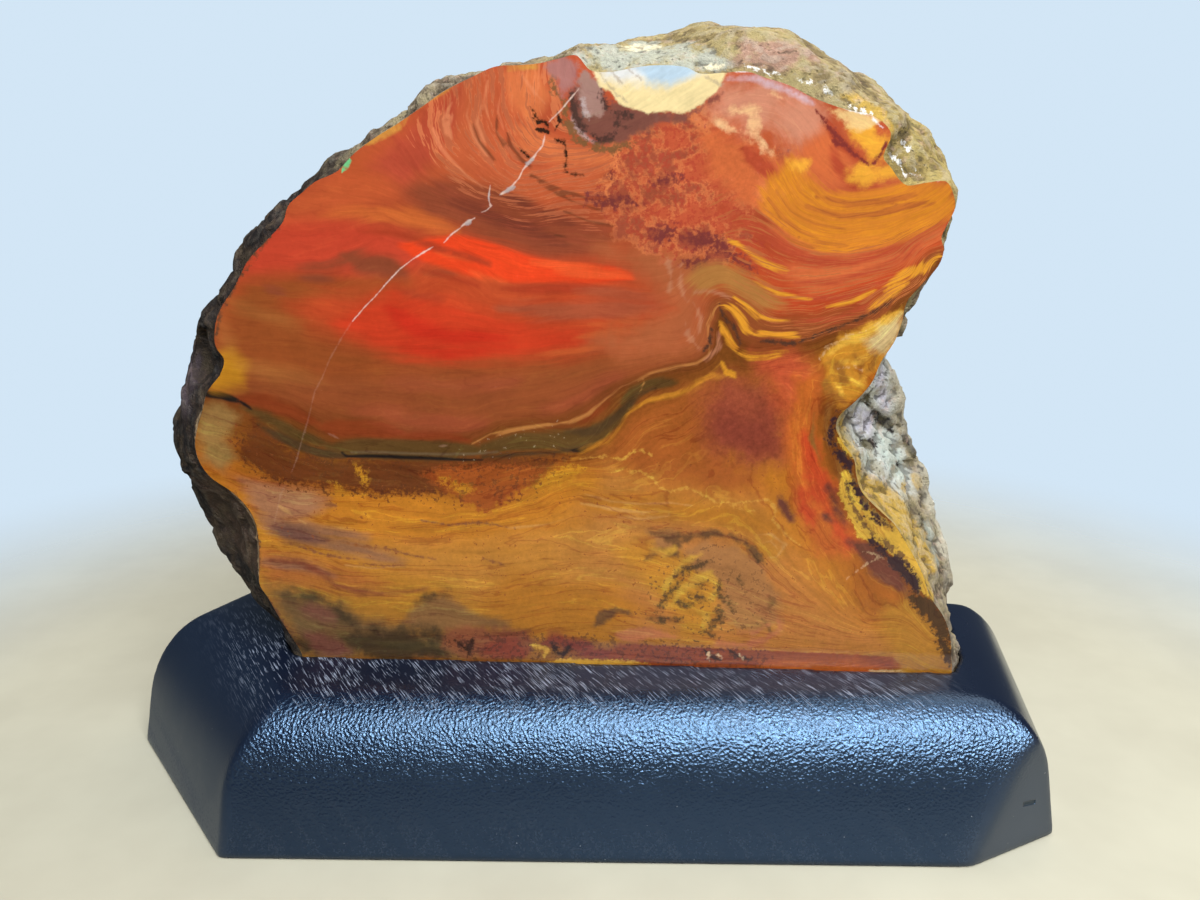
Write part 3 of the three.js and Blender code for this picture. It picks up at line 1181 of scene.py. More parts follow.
MARKS: tuple[Mark, ...] = (
    # The lower half, from the broad fields to the small marks.
    Mark("sandstone", (0.47, 0.165, 0.034), 9, 6, BLOT, """-2,98 12,94 38,88 46,74 60,60 86,46 60,43 10,46
    -14,60 -12,80"""),
    Mark("umber_plain", (0.36, 0.094, 0.017), 4, 4, BLOT, """-4,103 3,111 10,116 24,122 30,100 42,92 30,91
    12,93 0,98"""),
    Mark("gold_band", (0.52, 0.18, 0.014), 3, 5, STREAK, """4.5: -82,87 -60,86 -40,84 -24,86 -8,93 | 3.5:
    -78,78 -50,77 -25,78 -8,82"""),
    Mark("light_ochre", (0.48, 0.19, 0.03), 6, 6, STREAK, """-70,74 -40,74 -12,80 0,84 14,80 10,68 -8,60
    -30,55 -45,63 -66,70""", cap=1.5),
    Mark("ochre_sink", (0.42, 0.15, 0.014), 4, 5, STREAK, """-10,91 10,90 40,87 44,80 36,77 10,83 -8,85 |
    -30,66 0,64 8,55 -4,47 -28,48 -40,56"""),
    Mark("yellow_pool", (0.5, 0.2, 0.02), 3, 5, BLOT, """0,74 12,79 18,72 30,74 40,79 44,74 36,71 28,62 26,50
    20,48 12,58 6,64"""),
    Mark("left_rust", (0.4, 0.12, 0.022), 3, 4, STREAK, """-112,97 -104,94 -88,92 -78,90 -80,87 -98,88
    -106,91 | -100,72 -84,68 -70,64 -60,60 -80,60 -98,62"""),
    Mark("mauve", (0.36, 0.15, 0.068), 3, 4, STREAK, "-103,92 -95,91 -84,90 -80,86 -86,80 -96,78 -100,82"),
    Mark("mauve_low", (0.27, 0.115, 0.055), 2.2, 3, STREAK, """1.6: -99,81 -90,78.5 -80,77.5 -70,76 | 1.8:
    -84,74 -74,73 -66,71 -60,69 | 1.2: -98,68 -88,66.5 -80,64"""),
    Mark("purple_blot", (0.15, 0.06, 0.04), 2.2, 2.5, STREAK, "2.4: -95,77.6 -91.5,76.4 -87,75.4 -82,75"),
    Mark("brown_threads", (0.25, 0.085, 0.026), 0.5, 1.6, GRIT, """0.35: -91,74 -84,71.6 -78,70.2 -72,69.8 |
    0.3: -77,75 -70,73.6 -64,73.4 -57,71.2 -50,70.4 | 0.3: -72,68.6 -65,68 -60,68.4 | 0.25: -37,70.6 -33,69.4
    -31,68.4 | 0.25: -54,81.6 -46,80.4 -38,81.4 -30,80.2 | 0.4: -80,85.6 -77,85.2"""),
    Mark("wine_curves", (0.22, 0.052, 0.02), 1.1, 2, STREAK, """1.0: -87,66.6 -83,64.6 -79,61.6 -73,60
    -66,59.8 | 0.4: -97,69 -90,68.6 -84,66.4 | 0.3: -66,59.8 -58,60.4 -53,61.6"""),
    Mark("olive_foot", (0.15, 0.075, 0.026), 3.5, 4, BLOT, """-98,61 -90,60 -78,56 -70,51 -56,49 -46,48
    -42,40 -90,40 -95,50"""),
    Mark("olive_patch", (0.235, 0.105, 0.032), 1.6, 2.5, BLOT, """-60,51 -57,56 -50,60 -44,57 -38,54 -30,51.6
    -34,49.6 -46,48.6 -58,49"""),
    Mark("olive_dark", (0.045, 0.026, 0.011), 2.2, 5, BLOT, """1.2: -93,58.5 -85,57.5 -79,53.5 -74,49 | 0.8:
    -57,56.5 -53,58.8 -49,60 | 4.6: -78,46 -68,43 -58,43.6 -49,42 | 1.6: -60,48 -52,47 -46,44 | 1.8: -96,47
    -92,43.5 -87,41""", strength=0.85),
    Mark("brown_foot", (0.17, 0.058, 0.034), 2, 2.5, BLOT, """3.4: -88,46 -83,43.5 -77,42 | 2: -90,54
    -85,53.4 -81,51.6"""),
    Mark("rust_foot", (0.24, 0.07, 0.026), 1.6, 4, BLOT, """-48,49.4 -38,50.6 -26,49 -23,46 -26,42 -32,40
    -44,40 -50,44"""),
    Mark("red_foot", (0.24, 0.045, 0.02), 1.6, 3, BLOT, """3.2: -38,42.6 -33,44.4 -27,42.6 | 2.4: -21,45
    -17,47 -12,44.6 -6,44.6 | 2.2: -12,42.5 0,43.5 14,43.2"""),
    Mark("red_band", (0.27, 0.055, 0.016), 0.35, 0.8, GRIT, """2,46 20,45.6 50,45 76,44.2 80,41 60,37 -4,37
    -2,44"""),
    Mark("red_band_orange", (0.42, 0.09, 0.018), 1.6, 2, BLOT, "2.2: 41,41 52,40.5 64,40.5 74,40"),
    Mark("black_foot", (0.035, 0.014, 0.006), 0.6, 1.6, GRIT, """0.8: -18.5,46 -17.5,43.5 -16.5,42 | 0.9:
    -13,45.5 -15,43 -16,41 | 0.7: -46,46 -43,43 -41,46 -42.5,41 | 0.6: 24,45.3 26,42.8 29,42 | 0.5: 31,45.3
    34,43 38,42"""),
    Mark("foot_specks", (0.07, 0.024, 0.012), 0.4, 9, GRIT, """-48,46 -12,47 20,46 42,44 40,39
    -48,39""", cap=-0.7, strength=0.6),
    Mark("gold_foot", (0.6, 0.3, 0.04), 0.5, 1.8, GRIT, """1.1: -19,39.8 -8,40 4,40 9,39.6 | 0.7: -24,45
    -20,43.5 -21,41"""),
    Mark("cream_foot", (0.6, 0.36, 0.18), 0.4, 1.4, GRIT, """0.35: 25.5,44 25.6,42 | 0.3: 28,43.5 29.5,42.5 |
    0.3: 34,44 35,42 | 0.35: 70,39.6 76,39.8 80,39.7"""),
    # The dark band under the seam, its speckles, and the mustard end at the left.
    Mark("speckled_band", (0.14, 0.036, 0.009), 1.8, 6, GRIT, """-104,100 -98,109 -88,101 -76,99 -50,99
    -28,100 -16,100 -22,93 -36,90 -50,89.5 -64,88.5 -80,90 -94,92"""),
    Mark("rust_tongue", (0.33, 0.074, 0.012), 1.3, 5, GRIT, """-53,95 -47,90.4 -41,86.4 -35,84.4 -31,86.6
    -26,91 -19,97 -24,98 -36,97.4 -46,97"""),
    Mark("mustard_end", (0.3, 0.155, 0.045), 2.2, 3, BLOT, """-113,112 -106,114 -102,110 -106,104 -104,99
    -108,95 -113,98"""),
    Mark("band_gold", (0.5, 0.195, 0.014), 1, 4.5, GRIT, """0.9: -71,97 -69,94 -68.4,91 | 1.3: -48,93.6
    -43,91 -39,90.4 | 2.2: -22,92 -17,94.6 -10,96.8 | 0.9: -78,91.6 -75,89.6"""),
    Mark("pepper", (0.085, 0.028, 0.01), 0.4, 11, GRIT, """-104,103 -90,104 -60,99.5 -30,99.5 -12,101 -22,90
    -44,88 -68,89 -96,92""", cap=-1.6, strength=0.6),
    Mark("far_pepper", (0.22, 0.055, 0.012), 0.35, 10, GRIT, """-106,112 -60,92 -10,96 40,100 60,70 84,50
    40,48 -10,58 -60,70 -100,78""", cap=-3, strength=0.8),
    # The seam.
    Mark("maroon_rim", (0.22, 0.04, 0.01), 1.1, 1.6, STREAK, """2.2: -101,115 -94,114 -86,111 -80,108.5 |
    2.6: -80,107.5 -70,107.5 -58,106.5 | 1.8: -58,105.5 -48,105 -40,104.3 | 0.9: -10,110 -6,112.8 -2,116"""),
    Mark("seam", (0.105, 0.05, 0.013), 0.9, 1.8, STREAK, """1.7: -101,112.5 -94,110 -86,105.5 -78,103 | 2.6:
    -78,102.5 -64,101.6 -50,101.4 -36,101.6 | 2.4: -36,102.5 -28,104 -18,104.6 -8,105.5 -1,110 3,115 | 1.5:
    1,115 4,118.5 8,120.2 15,120.5"""),
    Mark("seam_brown", (0.075, 0.036, 0.013), 0.8, 1.6, STREAK, """0.9: -97,108 -88,103 -80,100.5 -74,99.6 |
    1: -14,107 -6,107.5 0,112 5,117.5 9,119 | 0.6: -36,99.6 -26,100.8 -16,101.5 -8,103"""),
    Mark("seam_light", (0.155, 0.098, 0.05), 0.4, 0.5, STREAK, """0.3: -72,100.7 -60,100.6 -48,100.4
    -38,100.6 -32,101.4""", strength=0.7),
    Mark("seam_black", (0.018, 0.012, 0.008), 0.4, 0.5, STREAK, """1: -112,116.2 -106,115.8 -101,114.2 |
    0.45: -101,114.2 -98,112 | 0.45: -74.5,100.6 -73.4,99.6 -66,99.6 -54,99.4 -42,98.9 -36,98.9 | 0.5:
    -12.5,102 -9.5,101.8 -8.2,103"""),
    Mark("seam_grains", (0.34, 0.24, 0.14), 0.3, 8, GRIT, """-41,102 -35,103 -26,106.5 -12,108.5 -12,105.5
    -26,103 -34,101.5 -40,100.8""", cap=-2.4, strength=0.5),
    Mark("upper_hem", (0.5, 0.2, 0.05), 0.4, 1.9, STREAK, """0.25: -39,103.6 -34,106.4 -28,107.6 -20,108.8
    -13,109.8 -8,112 -3,116.5 | 0.25: -3,116.5 1,119.6 8,122.8 15,124.6 20,125.6 23,128 23.2,132 22.2,136 |
    0.2: 22.2,136 24,139.5 25.2,141 | 0.2: 6.4,121 6.2,119.6 5.4,118""", strength=0.7),
    Mark("lower_hem", (0.54, 0.21, 0.02), 0.9, 3, STREAK, """0.6: -12,99.5 -8,102 -3,104.4 0.5,109 3,112.8 |
    0.4: 3,112.8 8,115.6 14,117.2 18,118.6 22,121.5 26,126 | 0.3: 20,121 24,122.5 29,122"""),
    Mark("lace", (0.56, 0.27, 0.04), 0.35, 1.5, GRIT, """0.25: 2,97 6,96.4 9,94.6 11,92 14,90.9 18,92.3
    22,90.4 26,88.2 31,88 36,88.6 40,89.4 | 0.35: 36,88.6 40,89.4 42,86.5 41.4,83.5 43.6,81 46,78.6 49,76.4 |
    0.22: -10,99.6 -4,100.4 1,99.8 3.4,101.6 6,102.4 8.6,101 | 0.25: -2,96 2,97.4 4,95.4 | 0.2: 30,87 34,85.6
    38,86.6""", strength=0.75),
    Mark("cream_wisps", (0.6, 0.32, 0.1), 0.45, 1.4, STREAK, """0.3: -93,85 -90,82.5 -86,80 | 0.22: -30,80
    -20,81 -12,83.5 | 0.2: -76,68 -68,67.3 -60,68 | 0.2: -9,90 -2,88 6,87.4 14,87.8 20,87 | 0.18: -10,87.4
    -2,86 6,85 14,85.6 | 0.18: 0,83.4 7,83 14,84.2 | 0.25: 36,79 41,79.6 45,76.6 43,73 40,72.6 | 0.2: 38,76.6
    41,77.6 43,75.4""", strength=0.45),
    # The dark, branching moss on its yellow ground, and the ring round it.
    Mark("moss_ring", (0.37, 0.15, 0.045), 1.5, 4, BLOT, """18,74 24,77 32,76 39,71 44,62 45,54 38,50 30,54
    28,64 20,70 | 8,80 15,79 17,75 10,75"""),
    Mark("moss_brown", (0.15, 0.062, 0.02), 1, 3.5, BLOT, """1.2: -6,51 -4,54.5 0,56.6 4,55.4 | 1: 16,76
    20,78.4 25,79 31,78.6 35,76.4 39,72 | 0.8: 41.5,61.5 42.5,59.5 42,58 | 0.8: 8,54 13,53.5 18,54.5 | 0.4:
    40,54.5 42,51.5 43.5,49.5 | 0.5: 9,79 14,77.6 18,78.4 | 0.4: 7,71 11,74 16,73"""),
    Mark("moss_glow", (0.56, 0.285, 0.035), 0.9, 2.6, BLOT, """1.2: 15,58 17,62 20,65 25,67.4 28,64 26,60 |
    0.9: 22,56.6 25,54.6 24,51 | 0.6: 12,61 14,65 18,71 23,73.4 | 0.5: 9,74.6 12,73.2 15,74.4"""),
    Mark("moss", (0.075, 0.038, 0.014), 1.3, 3.6, GRIT, """0.7: 11,56 12.6,59.5 15,62.5 17,65 | 0.9: 15.6,66
    18,68.4 21,69.6 24.4,71 | 0.9: 20,60.8 22.4,60.4 24.5,59.6 | 0.8: 16.6,58.8 19,58 21,58.2 | 1.1: 28,57.5
    28.6,54.5 26,51.6 | 0.6: 28.4,65 28,61.5 29,59 | 0.9: 11.5,52.8 13,53.6 | 0.8: 15.6,53.2 17.4,54.4 | 0.5:
    33,65.6 34,65 | 0.4: 37,72.8 38.6,71 | 0.6: 24,50.6 27,49.4 | 0.5: 22,63.4 23.6,65.4 | 0.4: 30.6,60
    31.4,57"""),
    Mark("moss_specks", (0.13, 0.055, 0.02), 0.35, 10, GRIT, """8,60 14,70 26,74 38,68 42,56 34,50 20,48
    8,50""", cap=-1.9, strength=0.6),
    Mark("rose_foot", (0.46, 0.145, 0.055), 0.9, 2.6, BLOT, """0.7: 28,47 35,46.8 41,48.4 45,51.6 44,55 |
    0.35: 33,50 38,50.4 42,53 | 1.6: 0,48.6 8,49.4 16,48.4"""),
    # The plum heart at the right and the red, wavy bands round it.
    Mark("plum_heart", (0.3, 0.064, 0.027), 5, 5, BLOT, "20,116 28,123 38,122 46,112 44,100 36,98 25,102"),
    Mark("plum_deep", (0.235, 0.046, 0.024), 5, 5, BLOT, "22,110 28,115 40,112 42,104 34,102 26,106"),
    Mark("coral_top", (0.49, 0.08, 0.028), 4, 3, BLOT, "34,128 44,129 51,124 50,112 45,104 43,112 38,120"),
    Mark("orange_wave", (0.5, 0.115, 0.018), 2.2, 4.5, BLOT, """45,122 51,124 51,114 52.5,105 56,96 60,86
    66,78 62,72 55,74 49,82 46,92 44,104"""),
    Mark("red_wave", (0.5, 0.06, 0.016), 1.8, 5, BLOT, """2.6: 49,107 52,99 54,92 57,85 | 2.2: 57,85 61,79
    66,73.5 | 1.4: 49,92 50,87 53,82"""),
    Mark("maroon_wave", (0.14, 0.038, 0.022), 1.3, 3.5, BLOT, """1: 55.5,93 58.5,87 61,82 | 2.8: 62,78 67,74
    73,68.6 79,63.6 | 0.7: 55,85.5 57.5,83.5 | 1.4: 43,90 45,86 47,83"""),
    Mark("brown_border", (0.27, 0.1, 0.02), 0.6, 1.8, BLOT, """0.8: 54.3,117 53.8,110 55.4,104 | 0.8: 57,101
    59.6,95 60.5,91.5 63,86 | 0.5: 50.6,113 50.4,106 53.6,99"""),
    Mark("gold_corner", (0.42, 0.17, 0.02), 3, 5, BLOT, "74,60 80,61 87,55 91,47 92,40 80,40 76,47 72,54"),
    Mark("gold_head", (0.54, 0.215, 0.022), 1, 3, BLOT, """52,128 56,133.5 64,136 70.5,140.5 70.5,133 66,125
    62,117.5 57,115 54,121"""),
    Mark("gold_head_brown", (0.33, 0.125, 0.02), 0.9, 4.5, BLOT, """1.6: 54,126 57,124 59,120 | 1.2: 60,128
    62,124 62,120 | 0.9: 57,119 55.5,116 | 0.8: 66,131 65,126 63,121 | 1: 53,121 55,118 58,116.6"""),
    Mark("gold_head_glow", (0.72, 0.37, 0.045), 0.8, 3.5, BLOT, """1.1: 54,129 58,131.6 63,133.6 68,137
    70,139.4 | 0.8: 57,126.4 61,126 63.6,128.6 | 0.7: 59,122.6 61.4,121 64,122.6 | 0.5: 56,120.6
    58.4,118"""),
    Mark("gold_head_pale", (0.62, 0.46, 0.22), 1.2, 3, BLOT, """62,132 67,135.6 70.4,138.6 70.4,132 67.4,128
    64,129""", strength=0.8),
    Mark("pale_veins", (0.66, 0.44, 0.24), 0.3, 1.4, GRIT, """0.15: 51,127 54,131 58,132.5 | 0.15: 57,133
    62,134 66,137 | 0.18: 56,124.5 60,125 62,124 | 0.12: 52,130 55,130.5 | 0.15: 62,67 66,70.5 70.5,73.5 |
    0.12: 66,75 70,74 73,72 | 0.15: 59,94.5 64,94 68,94.6 | 0.12: 80,61.5 82.4,64""", strength=0.35),
    Mark("yellow_crust", (0.62, 0.35, 0.045), 0.4, 2, GRIT, """57.6,113 60.5,115 59,107.5 62,100.5 59.8,101.5
    57.5,105 | 58.6,97 60.6,98 64.4,90 70,84.8 74.5,81.6 79,75.6 83.6,67 85.5,61 81,64.5 76,71.5 70,77
    64.5,78.5 61.4,85 58.6,91"""),
    Mark("crust_brown", (0.19, 0.095, 0.028), 0.5, 2.6, GRIT, """0.5: 60,94 62,88.6 64.4,84 68,80 | 0.7:
    63,92.6 66,87.6 70,83.6 74,81 | 0.5: 70,79 75,75.5 79,70.5 | 0.4: 61,97 63.4,92.6 | 0.3: 67,80 72,76.6
    77,71.4 81,65.6"""),
    # Painted shadow: a dark seam along the face's right edge, where the rind's hollow beside it lies in
    # shade.
    Mark("hollow_shadow_seam", (0.04, 0.018, 0.02), 0.6, 2.6, GRIT, """0.8: 57.4,113.4 55.8,110.5 55.2,106.5
    56.4,103.2 | 1.2: 56.6,103.4 59.2,100.8 61.2,97.4 | 1: 61,95 62.8,92.4 64.4,90 | 0.8: 64,89.6 65.8,86.8
    68.6,84.4 70.6,82.6 | 1.1: 67,78.4 70,76 72.6,73.6 | 1.6: 72,74 75.6,71.6 79,67.8 81.6,64"""),
    Mark("brown_corner", (0.07, 0.031, 0.011), 0.9, 4, GRIT, """2.4: 80,62.6 85,58.6 88.4,54 91,49 | 1.4:
    88,51 90.8,46 91.6,42"""),
    # The upper left: brown, rose and scarlet fields.
    Mark("umber_left", (0.27, 0.062, 0.014), 5, 4, STREAK, """-105,138 -96,150 -82,150 -62,150 -54,146
    -74,144 -86,140 -80,134 -64,127 -60,122 -100,122 -105,130"""),
    Mark("ochre_left", (0.45, 0.18, 0.012), 2.2, 2, STREAK, """-106,127 -102,129 -98,124 -99,118 -108,116.8
    -109,119"""),
    Mark("tan_left", (0.36, 0.13, 0.03), 2.6, 2, STREAK, """2: -104.5,137 -104,132 -102,127 | 1.2: -102,141
    -94,138 -84,134.5 | 2.2: -100,124 -90,121 -80,120""", strength=0.45),
    Mark("rose_left", (0.49, 0.05, 0.021), 3, 2.5, STREAK, """-99,147 -92,157 -84,163 -70,163 -56,158 -44,152
    -52,149 -66,148.5 -82,148"""),
    Mark("plum_left", (0.23, 0.05, 0.02), 1.6, 2.5, STREAK, """2.4: -70,152 -62,150.5 -55,148 | 0.8:
    -82,149.5 -74,150 -66,152.5 | 0.7: -91,144 -87,143 | 1: -82,147.4 -74,146.8 | 0.8: -50,148.4 -46,148
    -42,148.4 | 0.9: -56,144 -50,142 -46,141"""),
    Mark("orange_left", (0.47, 0.082, 0.024), 4, 4, STREAK, """-88,161.5 -80,168 -66,177 -56,183 -46,188
    -44,182 -50,176 -56,168 -62,163 -76,161.5"""),
    Mark("rose_crown", (0.42, 0.062, 0.028), 3, 3, STREAK, """-56,181 -46,188 -38,194 -40,184 -46,176 -54,170
    -62,174"""),
    Mark("scarlet_heart", (0.53, 0.042, 0.013), 3.2, 3.5, STREAK, """-74,135 -66,141 -58,145 -46,141 -30,137
    -12,134.5 0,131 -14,127.5 -30,126.5 -48,126 -64,129"""),
    Mark("scarlet_ember", (0.5, 0.026, 0.01), 1.8, 2.5, STREAK, """2: -60,140 -52,134 -42,131.5 -30,132 | 1:
    -56,129.5 -44,128 -28,129.5"""),
    Mark("flame_tail", (0.56, 0.12, 0.026), 1.6, 2.5, STREAK, """2.2: -60,164 -52,162 -46,160.3 -41,158.7 |
    0.9: -76,162.5 -66,163.5 -58,162"""),
    Mark("umber_wedge", (0.26, 0.055, 0.022), 2.2, 3, STREAK, """-54,169 -42,171 -30,169 -16,163 -6,160.4
    0,158 -4,154.6 -10,152 -18,151.8 -30,155.2 -40,159 -48,162"""),
    Mark("umber_wedge_deep", (0.17, 0.036, 0.018), 1.6, 3.5, STREAK, """1.8: -42,166 -34,163.5 -26,160
    -14,156 | 0.8: -30,168 -22,164.5 -12,161 | 0.9: -6,166.5 2,165.5 6,166.4"""),
    Mark("scarlet_lens", (0.7, 0.052, 0.012), 0.9, 1.3, STREAK, """-56,155 -49,157 -41,157.8 -33,155.6
    -24,152.8 -14,150.8 -3,150.4 3,149 4,146.6 -4,145.6 -14,146 -27,146 -38,147.6 -50,151"""),
    Mark("lens_orange", (0.74, 0.1, 0.024), 1, 1.8, STREAK, """1.3: -16,149 -8,148.2 0,148 3,147.4 | 0.8:
    -38,149 -33,147 -29,146 | 0.7: -22,151 -14,150.3 -5,149.8 | 0.5: -46,153.5 -38,151.5""", strength=0.7),
    Mark("lens_shade", (0.36, 0.04, 0.014), 1, 1.6, STREAK, """0.8: -54,157 -48,155.4 -40,152.6 -33,150.6 |
    0.6: -50,149 -44,147.4 -36,145 | 1.2: -30,144.6 -18,144.4 -4,144.2 | 0.5: -66,158.6 -58,158.4
    -50,156"""),
    Mark("rust_middle", (0.35, 0.07, 0.028), 2, 3.5, STREAK, """2.4: -30,140 -16,139 -2,138.5 10,140 | 1.4:
    -10,143 2,142 12,142"""),
    Mark("orange_stripe", (0.5, 0.1, 0.024), 0.9, 1.4, STREAK, """0.9: -12,131.5 -4,133.2 4,134 14.5,133.4 |
    0.8: -22,127.6 -10,128.6 -4,130.4 | 0.5: -8,135.4 2,136 12,135.6""", strength=0.8),
    Mark("rust_band", (0.26, 0.062, 0.018), 4, 4, STREAK, """3.2: -86,118 -66,117 -46,114 -26,116 -8,120
    8,127"""),
    Mark("rose_band", (0.34, 0.062, 0.03), 3, 3.5, STREAK, """2.2: -70,111 -56,110 -44,108.5 -36,109.5 | 1.2:
    -20,113 -10,116 0,122 | 1.4: -60,120 -44,119 -28,120""", strength=0.45),
    # The swirl at the top left and the streaks that leave it.
    Mark("swirl_heart", (0.62, 0.15, 0.048), 1.6, 3, STREAK, """-29,196 -20,197 -16,191 -20,186 -26,183
    -24,178 -16,175 -6,174 2,175 -4,178 -13,178.5 -20,182 -26,188"""),
    Mark("swirl_light", (0.66, 0.2, 0.075), 0.4, 11, WISP, """-48,192 -30,197 -18,197 -14,186 -14,178 -2,174
    0,168 -4,161 -26,164 -40,170 -48,180""", cap=-0.4, strength=0.55),
    Mark("swirl_dark", (0.27, 0.052, 0.024), 0.4, 11, WISP, """-42,192 -30,197 -22,192 -22,184 -12,178 0,174
    2,162 -6,156 -30,161 -44,168""", cap=-0.8, strength=0.5),
    Mark("swirl_arcs", (0.7, 0.23, 0.1), 0.4, 1.2, STREAK, """0.3: -46,183 -44.8,179.5 -42,176 -38,172
    -34,169 | 0.3: -41,189 -43.4,185 -43,181.5 | 0.4: -41,186 -42.4,183.4 -41.6,180.6 | 0.3: -36.6,190
    -37.4,186 -36,181 -32.6,176.4 | 0.3: -34,188 -35,184 -33,179 | 0.3: -32,194 -33.2,189 -32.2,185 | 0.3:
    -29,191 -29.8,187 -28.4,183 | 0.25: -24,195.5 -21,191.5 -18,188.4""", strength=0.5),
    Mark("swirl_cracks", (0.1, 0.03, 0.012), 0.4, 1.2, STREAK, """0.3: -27.6,182 -27,179.4 -24.4,176 -22,174
    | 0.22: -36,184 -34.6,180 -31,175.4 | 0.22: -22,172 -14,168.4 -6,166 | 0.2: -30,186 -30.4,182 -28.6,178.6
    | 0.22: -14,163.6 -8,161.2 0,160 6,160.2 | 0.2: -20,170 -12,166 -4,163.6 | 0.2: -18,158.6
    -12,156.4""", strength=0.7),
    Mark("centre_brown", (0.37, 0.094, 0.032), 4, 5, BLOT, """-6,154 6,156 18,157 25,151 21,142 22,132 15,127
    2,127 -8,131 4,135 14,140 8,146"""),
    Mark("red_clouds", (0.47, 0.082, 0.032), 4, 5, BLOT, """2,183 20,186 34,180 37,171 32,160 24,154 8,156
    -2,162 2,172"""),
    Mark("orange_clouds", (0.66, 0.185, 0.06), 1.2, 11, BLOT, """0,186 20,187 36,180 40,170 34,160 26,152
    6,154 -4,162 -2,174""", cap=0, strength=0.85),
    Mark("wine_clouds", (0.25, 0.042, 0.025), 1.4, 11, BLOT, """2,180 16,182 24,176 30,168 32,158 24,152
    8,154 -4,162 2,172""", cap=-1.2, strength=0.8),
    Mark("red_grit", (0.36, 0.045, 0.022), 0.8, 11, GRIT, """0,180 16,184 24,178 28,164 26,156 10,154 2,160
    -4,168 2,174 | 24,166 32,162 36,156 30,155 24,158""", cap=-0.6, strength=0.7),
    Mark("wine_blots", (0.17, 0.032, 0.026), 1.4, 5, GRIT, """1.2: -8,166.8 -3,166 2,166.2 5,165 | 1.6:
    8,158.6 11,157.8 13,160 | 1.7: 16,157.2 20,156.6 24,156.4 28,153.6 | 1.2: 17,151 20,150.4 22,152 | 0.8:
    9,170.5 12,171 15,171.4 | 0.7: 40,174.8 38.4,176.6 | 0.5: -2.6,172 -1.6,170.8 | 0.8: 24,156 29,152
    34,149.4"""),
    # The crown: the dark crescent, the white cap, and the dusky field beside it.
    Mark("dusky_field", (0.6, 0.25, 0.15), 4, 7, BLOT, """22,193 34,194.5 42,191.5 48,187.5 50,181 42,177
    36,183 30,181.5 22,187""", strength=0.8),
    Mark("coral_right", (0.57, 0.125, 0.037), 2.4, 4, STREAK, """20,182 30,180 36,176 42,176 50,183 56,178
    58,170 48,168 40,172 34,168 38,158 48,151 64,151 79,157 80.5,162 66,157 52,156 40,162 30,166 22,172 |
    40,150 48,143 60,146 72,152 79,158 66,153.4 52,151.5"""),
    Mark("red_right", (0.42, 0.062, 0.024), 1, 3, STREAK, """1.6: 25,164 33,159.6 40,154.8 48,151.8 58,151.4
    70,155 80,161 | 1.4: 50,184 53,179.6 57,176 61,174 | 2: 30,178 34,174 38,172 | 1.5: 51,178 53,173.6
    56.6,169.6 62,169.4 | 1: 28,158 34,153 42,149.4 | 0.8: 44,146.4 54,146 64,149.4 74,154.4 | 0.7: 46,142
    56,142.4 66,146.4 | 0.8: 44,136 54,137.4 62,139.8 70,144"""),
    Mark("dusk_lilac", (0.6, 0.4, 0.42), 0.7, 1.6, BLOT, """0.8: 25.6,194 31,194 36,192.4 42,190.4 46,188.4 |
    0.6: 17,199 8,199.4""", strength=0.85),
    Mark("cream_patches", (0.78, 0.42, 0.2), 1, 4.5, BLOT, """0.9: 23.5,184 26,183 28,182 | 1.5: 31,184
    32.4,181.6 34.4,179 36,177.4 | 0.8: 27,187 30,186.4 33,187.6 | 0.6: 36,190.6 40,188.6 | 0.5: 52.4,192
    54,190.6"""),
    Mark("gold_arc", (0.64, 0.215, 0.018), 1.5, 3.2, STREAK, """34.8,169 36,164 39.4,160 44,156.4 50,154
    56,153.2 63,154 70,156.6 76,159.6 80.6,162.6 81.4,165 79.6,170.4 74,170.2 69,169.4 58,167 50,167.6 45,171
    41,176 37.6,172"""),
    Mark("arc_lines", (0.42, 0.11, 0.022), 0.4, 2, STREAK, """0.3: 36.4,166.6 39.4,162 44.6,158.4 50,156.4
    56,155.6 | 0.3: 38,168 42,163.4 48,160.6 56,159 64,160 | 0.7: 46,164.6 54,162.2 62,162.4 68,164.4
    76,165.6 | 0.5: 48,167 56,165 64,165.6 72,167.4 | 0.3: 38.2,160 42,157 48,154.9"""),
    Mark("arc_streaks", (0.52, 0.15, 0.022), 0.5, 9, WISP, """35,169 38,161 46,156 56,154 66,156 76,160.6
    80.6,164 79.6,170 69,169 58,167 50,167.6 45,171 41,176""", cap=0.2, strength=0.6),
    Mark("gold_patches", (0.78, 0.34, 0.035), 1.6, 5, BLOT, """55.8,173.4 56.4,170.8 60,170 64,171.4 68,172
    66.6,174.6 62,173.6 58.6,175.8 | 55,183.6 60,184 63.4,181 64.6,179.6 63,175.4 60.6,175.4 57.4,178.4 |
    40.4,175.6 45.4,174.6 44,172.6 41,173.4"""),
    Mark("sand_patch", (0.8, 0.5, 0.2), 1, 4, BLOT, "50.4,187.6 56,187 61.6,184.6 58,183 54.4,183.4 52,185"),
    Mark("maroon_crack", (0.2, 0.03, 0.022), 0.5, 1.6, GRIT, """0.5: 47,186.6 50,183 53,179.8 56.4,176.8
    60.6,174.2 | 0.7: 51,179.6 54,178.6 | 0.4: 61.4,175 62.8,177.4 64.4,180.4"""),
    Mark("cap_shade", (0.26, 0.07, 0.045), 0.7, 2.2, GRIT, """1: -5,191.4 -2,188.4 2,186.6 8,185.6 15,185.8
    20,188 | 0.7: 20.4,188.4 24,190.6 | 0.6: 24,197.6 28,197.6"""),
    Mark("crescent_field", (0.185, 0.062, 0.042), 1.2, 4, BLOT, """-13,191 -11.4,186 -9,182 -4,179.5 2,181
    8,183.4 15,185 10,187 2,187.4 -2,189.6 -5,192 -8,194"""),
